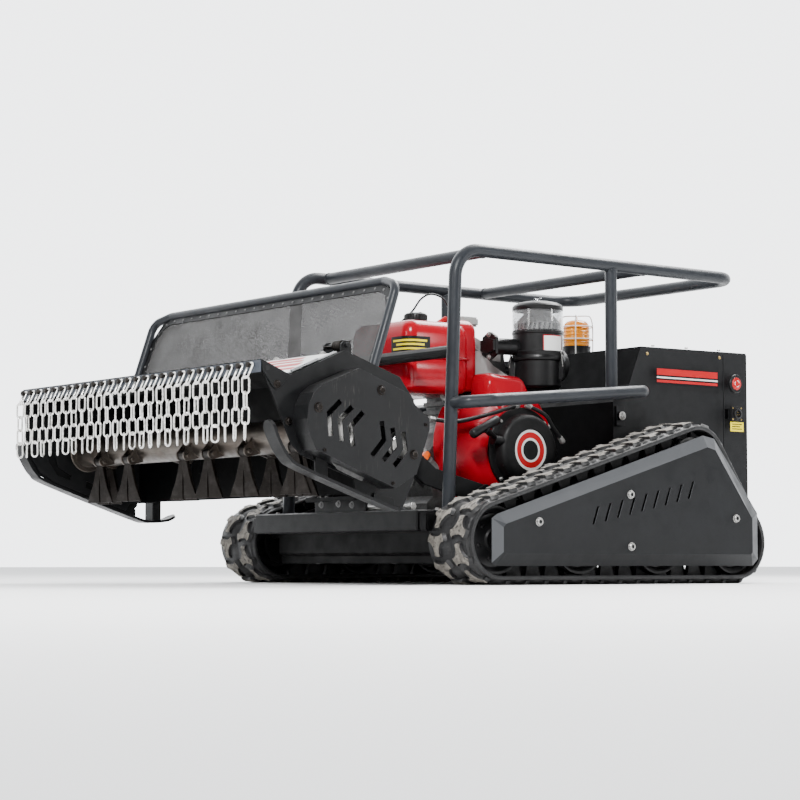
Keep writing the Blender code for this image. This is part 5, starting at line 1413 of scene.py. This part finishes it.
def make_rotor():
    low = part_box("rotor")[0]
    bm = bmesh.new()
    add_turned(bm, [(low[0], 0.0), (low[0], 0.017), (low[0] + 0.001, 0.018), (-0.63, 0.018), (-0.63, 0.058),
                    (-0.628, 0.06), (-0.626, 0.06), (-0.624, 0.058), (-0.624, 0.045), (0.624, 0.045),
                    (0.624, 0.058), (0.626, 0.06), (0.628, 0.06), (0.63, 0.058), (0.63, 0.018),
                    (0.66, 0.018), (0.66, 0.0)], ROTOR, sides=56)
    for x, facing in HINGED_FLAILS + FIXED_FLAILS:
        add_lugs(bm, x, facing)
    piece("rotor_tube", bm, "steel", "rotor", body="rotor", slot="bare_steel")
    bm = bmesh.new()
    add_turned(bm, [(0.664, 0.0), (0.664, 0.052), (0.6648, 0.0545), (0.667, 0.055), (0.672, 0.049),
                    (0.684, 0.049), (0.689, 0.055), (0.6912, 0.0545), (0.692, 0.052), (0.692, 0.044),
                    (0.687, 0.04), (0.687, 0.024), (0.692, 0.022), (0.692, 0.0)], ROTOR, sides=56)
    piece("rotor_pulley", bm, "silver", body="rotor")
    for number in range(1, len(HINGED_FLAILS) + 1):
        spot = pivot("flail_%d_swing" % number)
        bm = bmesh.new()
        add_flail(bm, spot.x, spot.y, spot.z)
        node = "flail_%d" % number
        piece(node + "_blades", bm, "forged", node, body=node)
    bm = bmesh.new()
    for x, facing in FIXED_FLAILS:
        add_flail(bm, x, ROTOR.y + facing * PIN_OUT, ROTOR.z - PIN_DROP)
    piece("rotor_more_flails", bm, "forged", body="rotor")


def strap(bm, path, low, high, thickness, round_end=True):
    """A flat bar bent along a path in the side plane."""
    path = [Vector(p) for p in path]
    rims = []
    for k, point in enumerate(path):
        along = (path[min(k + 1, len(path) - 1)] - path[max(k - 1, 0)]).normalized()
        rims.append((point, Vector((-along.y, along.x)) * thickness / 2))
    rings = []
    reach = 0.0
    total = sum((b - a).length for a, b in zip(path, path[1:]))
    half = (high - low) / 2
    for k, (point, normal) in enumerate(rims):
        if k:
            reach += (path[k] - path[k - 1]).length
        draw = 0.0
        if round_end:
            near = min(reach, total - reach)
            if near < half:
                draw = half - math.sqrt(max(0.0, half * half - (half - near) ** 2))
                draw = min(draw, half * 0.85)
        rings.append([bm.verts.new((x, *(point + normal * s)))
                      for x, s in ((low + draw, -1), (high - draw, -1), (high - draw, 1), (low + draw, 1))])
    join_rings(bm, rings)


def make_skids():
    for side, sign in SIDES:
        node = side + "_skid"
        low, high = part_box(node)
        path = [(-1.013, 0.4265), (-1.01, 0.418), (-1.006, 0.406), (-0.992, 0.374), (-0.962, 0.332),
                (-0.91, 0.303)]
        if sign > 0:
            path += [(-0.64, 0.2115), (-0.6, 0.2055), (-0.574, 0.207)]
        else:
            path += [(-0.62, 0.205), (-0.56, 0.192), (-0.5, 0.196), (-0.468, 0.209), (-0.461, 0.213)]
        curve = []
        for p in smooth_path([(0, y, z) for y, z in path], 6):
            curve.append((p.y, min(max(p.z, low[2] + 0.0045), high[2] - 0.001)))
        bm = bmesh.new()
        strap(bm, curve, low[0] + 0.0003, high[0] - 0.0003, 0.008)
        x0, x1 = (high[0] - 0.0505, high[0] - 0.0445) if sign < 0 else (low[0], low[0] + 0.006)
        add_prism(bm, [(-0.85, 0.28), (-0.85, 0.335), (-0.845, 0.34), (-0.815, 0.33), (-0.81, 0.322),
                       (-0.81, 0.268)], x0, x1)
        add_prism(bm, [(-0.66, 0.218), (-0.66, 0.243), (-0.655, 0.247), (-0.595, 0.234), (-0.59, 0.229),
                       (-0.59, 0.199)], x0, x1)
        if sign < 0:
            add_box(bm, (low[0] + 0.0003, -0.553, 0.1905), (high[0] - 0.0003, -0.523, 0.2615), 0.002)
        piece(node + "_strap", bm, "paint", node, body="deck", angle=30)


SIDE_X = 0.647
# the hinged cover's slope over the deck: its foot, the way up it and the way out of it
COVER_FOOT = Vector((-0.926, 0.547))
COVER_ALONG = (Vector((-0.753, 0.62)) - COVER_FOOT).normalized()
COVER_UP = Vector((-COVER_ALONG.y, COVER_ALONG.x))


def make_far_skin():
    """Inner skin of the far side, seen through its slots and down to its skid."""
    bm = bmesh.new()
    add_prism(bm, [(-1.009, 0.428), (-0.9905, 0.374), (-0.961, 0.3325), (-0.9095, 0.3035), (-0.64, 0.2125),
                   (-0.61, 0.24), (-0.61, 0.33), (-0.86, 0.44)], -0.6515, -0.6475)
    piece("far_skin", bm, "frame", body="deck")


def make_bar_brackets():
    """The bracket that ends the chain bar, its bolts, and a dark disc painted as the shade inside its hole.
    """
    for side, sign in (("l", 1), ("r", -1)):
        x0, x1 = sorted((sign * SIDE_X, sign * (SIDE_X + 0.004)))
        bm = bmesh.new()
        add_prism(bm, [(-1.015, 0.583), (-0.988, 0.571), (-0.936, 0.549), (-0.932, 0.543), (-0.962, 0.512),
                       (-0.972, 0.508), (-0.982, 0.514), (-1.014, 0.556)], x0, x1)
        piece("bar_bracket_" + side, bm, "paint", body="deck")
        bm = bmesh.new()
        add_bolt(bm, (sign * (SIDE_X + 0.004), -0.97, 0.5215), (sign, 0, 0), 0.0075, 0.011, 0.006)
        add_bolt(bm, (sign * SIDE_X, -0.931, 0.427), (sign, 0, 0), 0.0075, 0.011, 0.007)
        if sign < 0:
            for y, z in ((-0.86, 0.455), (-0.74, 0.455), (-0.86, 0.345), (-0.74, 0.345)):
                add_bolt(bm, (-SIDE_X - 0.0005, y, z), (-1, 0, 0), 0.0065, 0.01, 0.007)
        piece("bar_bolts_" + side, bm, "forged", body="deck")
        # a dark disc painted as the shade inside the bracket's hole
        bm = bmesh.new()
        add_turned(bm, [(-0.0005, 0.0062), (0.0008, 0.0062), (0.0008, 0.0), ],
                   (sign * (SIDE_X + 0.004), -1.0, 0.562),
                   sides=20, spin=(sign, 0, 0))
        piece("bar_hole_shade_" + side, bm, "hose", body="deck")


def add_slab(bm, a, b, x0, x1, lift, thick):
    """A slab on the cover's slope, from a to b up it."""
    add_prism(bm, [tuple(COVER_FOOT + COVER_ALONG * u + COVER_UP * v)
                   for u, v in ((a, lift), (b, lift), (b, lift + thick), (a, lift + thick))], x0, x1)


def make_deck_cover():
    """Pale panel with plain red stripes, hinge strips and their rods."""
    bm = bmesh.new()
    add_slab(bm, 0.008, 0.17, 0.235, 0.612, 0.002, 0.0015)
    piece("deck_panel", bm, "white", body="deck")
    bm = bmesh.new()
    for k, (a, b) in enumerate(((0.05, 0.066), (0.082, 0.104), (0.118, 0.13), (0.142, 0.158))):
        add_slab(bm, a, b, 0.245 + 0.01 * k, 0.6 - 0.03 * k, 0.0034, 0.0006)
    piece("deck_stripes", bm, "red_film", body="deck")
    bm = bmesh.new()
    add_tube(bm, [(0.639, -0.918, 0.559), (0.639, -0.834, 0.5945)], 0.0042, 14)
    add_tube(bm, [(-0.639, -0.918, 0.559), (-0.639, -0.834, 0.5945)], 0.0042, 14)
    add_slab(bm, 0.006, 0.174, 0.616, 0.632, 0.002, 0.004)
    add_slab(bm, 0.006, 0.174, -0.632, -0.616, 0.002, 0.004)
    piece("deck_hinge_strip", bm, "alu", body="deck")


def make_guard_spring():
    """Torsion spring that holds the guard up, on its pivot at the near end."""
    bm = bmesh.new()
    coil = [(0.582, -0.774, 0.634)]
    for k in range(121):
        angle = 2 * math.pi * k / 15
        coil.append((0.584 + 0.0042 * k / 15, -0.735 + 0.0135 * math.cos(angle),
                     0.6385 + 0.0135 * math.sin(angle)))
    coil.append((0.619, -0.712, 0.654))
    add_tube(bm, coil, 0.0021, 8)
    piece("guard_spring", bm, "forged", body="deck", angle=60)
    bm = bmesh.new()
    add_rod(bm, (0.545, -0.735, 0.6385), (0.64, -0.735, 0.6385), 0.007, 18, chamfer=0.001)
    for x in (0.549, 0.628):
        add_prism(bm, [(-0.752, 0.612), (-0.752, 0.64), (-0.742, 0.65), (-0.728, 0.65), (-0.718, 0.64),
                       (-0.718, 0.605)], x - 0.002, x + 0.002)
    piece("guard_pivot", bm, "paint", body="deck")


def make_guard_bolts():
    """Bolts of the belt guard, over the plain heads of the CAD, and the housing's edge below it."""
    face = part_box("deck_belt_guard")[1][0] - 0.006
    bm = bmesh.new()
    for y, z in ((-0.881, 0.462), (-0.678, 0.516), (-0.569, 0.349)):
        add_turned(bm, [(0.0, 0.0135), (0.0016, 0.0135), (0.0022, 0.0125)], (face, y, z), sides=28)
        add_turned(bm, [(0.001, 0.0092), (0.0066, 0.0092), (0.0078, 0.0075)], (face, y, z), sides=6)
    for y, z in ((-0.862, 0.352), (-0.64, 0.271), (-0.53, 0.43)):
        add_socket_screw(bm, (face, y, z), (1, 0, 0), 0.0045, 0.004)
    piece("guard_bolts", bm, "forged", body="deck")
    # bare edge of the belt housing, seen below the guard
    bm = bmesh.new()
    add_prism(bm, [(-0.82, 0.335), (-0.79, 0.305), (-0.712, 0.277), (-0.694, 0.296), (-0.766, 0.324)],
              0.6665, 0.6705)
    piece("housing_lip", bm, "cast", body="deck")


def make_deck_top_bolts():
    """Bolts along the deck's top fold."""
    bm = bmesh.new()
    for x in (-0.56, -0.34, -0.12, 0.12, 0.34, 0.56):
        spot = COVER_FOOT + COVER_ALONG * 0.18 + COVER_UP * 0.0022
        add_bolt(bm, (x, *spot), (0, *COVER_UP), 0.006, 0.0095, 0.005)
    piece("deck_top_bolts", bm, "silver", body="deck")


def make_stone_guard():
    tilt = math.radians(21.0)
    lean = math.tan(tilt)
    foot_y, foot_z, top_z, hoop_x = -0.6495, 0.565, 0.832, 0.629
    corners = [(hoop_x, foot_y, foot_z), (hoop_x, foot_y + lean * (top_z - foot_z) * 0.82, top_z - 0.02),
               (hoop_x - 0.075, foot_y + lean * (top_z - foot_z), top_z)]
    corners += [(-x, y, z) for x, y, z in reversed(corners)]
    bm = bmesh.new()
    add_tube(bm, fillet(corners, 0.04, 10), 0.0125, 28)
    piece("guard_hoop", bm, "tube", "stone_guard_hoop", body="deck", angle=50)

    def at(z, off=0.0):
        return foot_y + lean * (z - foot_z) + off

    bm = bmesh.new()
    z0, z1, half = 0.59, 0.822, 0.618
    corners = [(-half, z0), (half, z0), (half, z1 - 0.06), (half - 0.03, z1 - 0.014), (half - 0.07, z1),
               (-half + 0.07, z1), (-half + 0.03, z1 - 0.014), (-half, z1 - 0.06)]
    rings = [[bm.verts.new((x, at(z, off), z)) for x, z in corners] for off in (0.0002, 0.0012)]
    join_rings(bm, rings)
    piece("guard_sheet", bm, "mesh", "stone_guard_mesh", body="deck", smooth=False)
    # binding strip with rivets along the hoop
    bm, rivets = bmesh.new(), bmesh.new()
    outline = [(half, z0), (half, z1 - 0.06), (half - 0.03, z1 - 0.014), (half - 0.07, z1)]
    outline += [(-x, z) for x, z in reversed(outline)]
    inner = [(half - 0.02, z0), (half - 0.02, z1 - 0.066), (half - 0.042, z1 - 0.032),
             (half - 0.076, z1 - 0.018)]
    inner += [(-x, z) for x, z in reversed(inner)]
    for k in range(len(outline) - 1):
        quad = [outline[k], outline[k + 1], inner[k + 1], inner[k]]
        layers = [[bm.verts.new((x, at(z, off), z)) for x, z in quad] for off in (-0.0022, -0.0002)]
        join_rings(bm, layers)
        a = Vector(outline[k]) * 0.5 + Vector(inner[k]) * 0.5
        b = Vector(outline[k + 1]) * 0.5 + Vector(inner[k + 1]) * 0.5
        count = max(1, int((b - a).length / 0.048))
        for n in range(count):
            spot = a.lerp(b, (n + 0.5) / count)
            add_turned(rivets, [(-0.001, 0.0042), (0.0008, 0.004), (0.002, 0.0022), (0.0022, 0.0)],
                       (spot.x, at(spot.y, -0.0022), spot.y), sides=12,
                       spin=(0, -math.cos(tilt), math.sin(tilt)))
    piece("guard_binding", bm, "paint", body="deck")
    piece("guard_rivets", rivets, "grey", body="deck")


def make_actuator():
    top = pivot("actuator_tilt")
    pin = Vector((0.0, -0.4, 0.42))
    down = (pin - top).normalized()
    bm = bmesh.new()
    add_turned(bm, [(-0.01, 0.011), (-0.01, 0.016), (-0.0085, 0.0175), (0.03, 0.0175), (0.032, 0.016),
                    (0.19, 0.016), (0.192, 0.0175), (0.203, 0.0175), (0.205, 0.016), (0.205, 0.0105),
                    (0.03, 0.0105)], top, sides=40, spin=down)
    piece("actuator_barrel", bm, "alu", "lift_actuator_body", body="lift_actuator_body", slot="aluminium",
          angle=30)
    bm = bmesh.new()
    add_rod(bm, top + down * 0.034, pin - down * 0.01, 0.0095, 32)
    piece("actuator_piston", bm, "chrome", "lift_actuator_rod", body="lift_actuator_rod", slot="chrome")
    bm = bmesh.new()
    add_turned(bm, mirrored([(-0.016, 0.0068), (-0.016, 0.0128), (-0.0145, 0.014)]), pin, sides=32,
               closed=True)
    add_rod(bm, pin - down * 0.0125, pin - down * 0.04, 0.013, 6)
    piece("actuator_eye", bm, "silver", body="lift_actuator_rod")
    held_hose("actuator_cable", [(0.03, -0.2, 0.6), (0.06, -0.17, 0.56), (0.09, -0.15, 0.47),
                                 (0.1, -0.15, 0.33), (0.1, -0.15, 0.214)], 0.0045)


def make_front_fittings():
    """Brackets, bolts and a braided hose along the front beam and under it."""
    low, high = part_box("front_crossbeam")
    front, bottom, top = low[1], low[2], high[2]
    bm = bmesh.new()
    add_box(bm, (0.424, front - 0.004, bottom), (0.46, front + 0.06, 0.206), 0.004)
    add_box(bm, (-0.133, front - 0.005, top - 0.004), (0.122, front + 0.001, 0.258), 0.002)
    add_box(bm, (-0.4, -0.232, 0.06), (0.4, -0.226, 0.14), 0.0015)
    piece("beam_brackets", bm, "frame")
    bm = bmesh.new()
    for x, z in ((-0.047, 0.235), (0.04, 0.236), (0.107, 0.232)):
        add_bolt(bm, (x, front - 0.005, z), (0, -1, 0), 0.007, 0.0105, 0.007)
    for x, z in ((-0.393, 0.128), (-0.198, 0.126), (0.003, 0.112)):
        add_bolt(bm, (x, -0.232, z), (0, -1, 0), 0.0075, 0.011, 0.006)
    piece("beam_bolts", bm, "grey")
    held_hose("braided_hose", [(0.072, -0.29, 0.224), (0.14, -0.291, 0.2215), (0.21, -0.288, 0.2215),
                               (0.28, -0.29, 0.2215), (0.343, -0.29, 0.224)], 0.0078, "silver", "bare_steel")


make_curtain()
make_rotor()
make_skids()
make_far_skin()
make_bar_brackets()
make_deck_cover()
make_guard_spring()
make_guard_bolts()
make_deck_top_bolts()
make_stone_guard()
make_actuator()
make_front_fittings()
repaint("deck", "deck_housing")
repaint("guard_paint", "deck_belt_guard")
repaint("rubber", "deck_drive_belt")
repaint("silver", "jackshaft")


# ---------------------------------------------------------------- studio

def add_light(name, place, target, size, size_y, power):
    data = bpy.data.lights.new(name, "AREA")
    data.shape = "RECTANGLE"
    data.size = size
    data.size_y = size_y
    data.energy = power
    lamp = bpy.data.objects.new(name, data)
    bpy.context.scene.collection.objects.link(lamp)
    lamp.location = place
    lamp.rotation_euler = (Vector(target) - Vector(place)).to_track_quat("-Z", "Y").to_euler()


def make_sky():
    """A paper-white sweep behind and above the machine that falls off toward the viewer's side."""
    world = bpy.data.worlds.new("studio")
    world.use_nodes = True
    tree = world.node_tree
    facing = tree.nodes.new("ShaderNodeVectorMath")
    facing.operation = "DOT_PRODUCT"
    tree.links.new(tree.nodes.new("ShaderNodeTexCoord").outputs["Generated"], facing.inputs[0])
    facing.inputs[1].default_value = (-0.78, 0.6, 0.18)
    level = tree.nodes.new("ShaderNodeMapRange")
    level.interpolation_type = "SMOOTHSTEP"
    level.inputs["From Min"].default_value = -0.1
    level.inputs["From Max"].default_value = 0.86
    level.inputs["To Min"].default_value = 0.06
    level.inputs["To Max"].default_value = 4.2
    tree.links.new(facing.outputs["Value"], level.inputs["Value"])
    shade = tree.nodes["Background"]
    shade.inputs["Color"].default_value = (0.96, 0.98, 1.0, 1.0)
    tree.links.new(level.outputs["Result"], shade.inputs["Strength"])
    bpy.context.scene.world = world


def make_studio():
    make_sky()
    floor = bpy.data.meshes.new("floor")
    reach = 30.0
    floor.from_pydata([(-reach, -reach, 0), (reach, -reach, 0), (reach, reach, 0), (-reach, reach, 0)], [],
                      [(0, 1, 2, 3)])
    item = bpy.data.objects.new("floor", floor)
    bpy.context.scene.collection.objects.link(item)
    look = Shader("floor_paper", (0.94, 0.94, 0.94), 0.8)
    look.blend(look.noise(2.0), (0.96, 0.96, 0.96), 0.6)
    item.data.materials.append(look.material)
    add_light("ceiling", (-0.3, 2.4, 3.7), (0, 0.1, 0.4), 2.6, 1.4, 260.0)
    add_light("key", (3.5, -3.1, 3.8), (0, -0.1, 0.4), 0.9, 0.9, 430.0)
    add_light("strip", (0.9, -5.2, 1.5), (0, 0, 0.6), 1.1, 2.8, 90.0)
    add_light("side", (4.4, 2.6, 1.6), (0, 0.2, 0.4), 0.8, 0.8, 40.0)


make_studio()
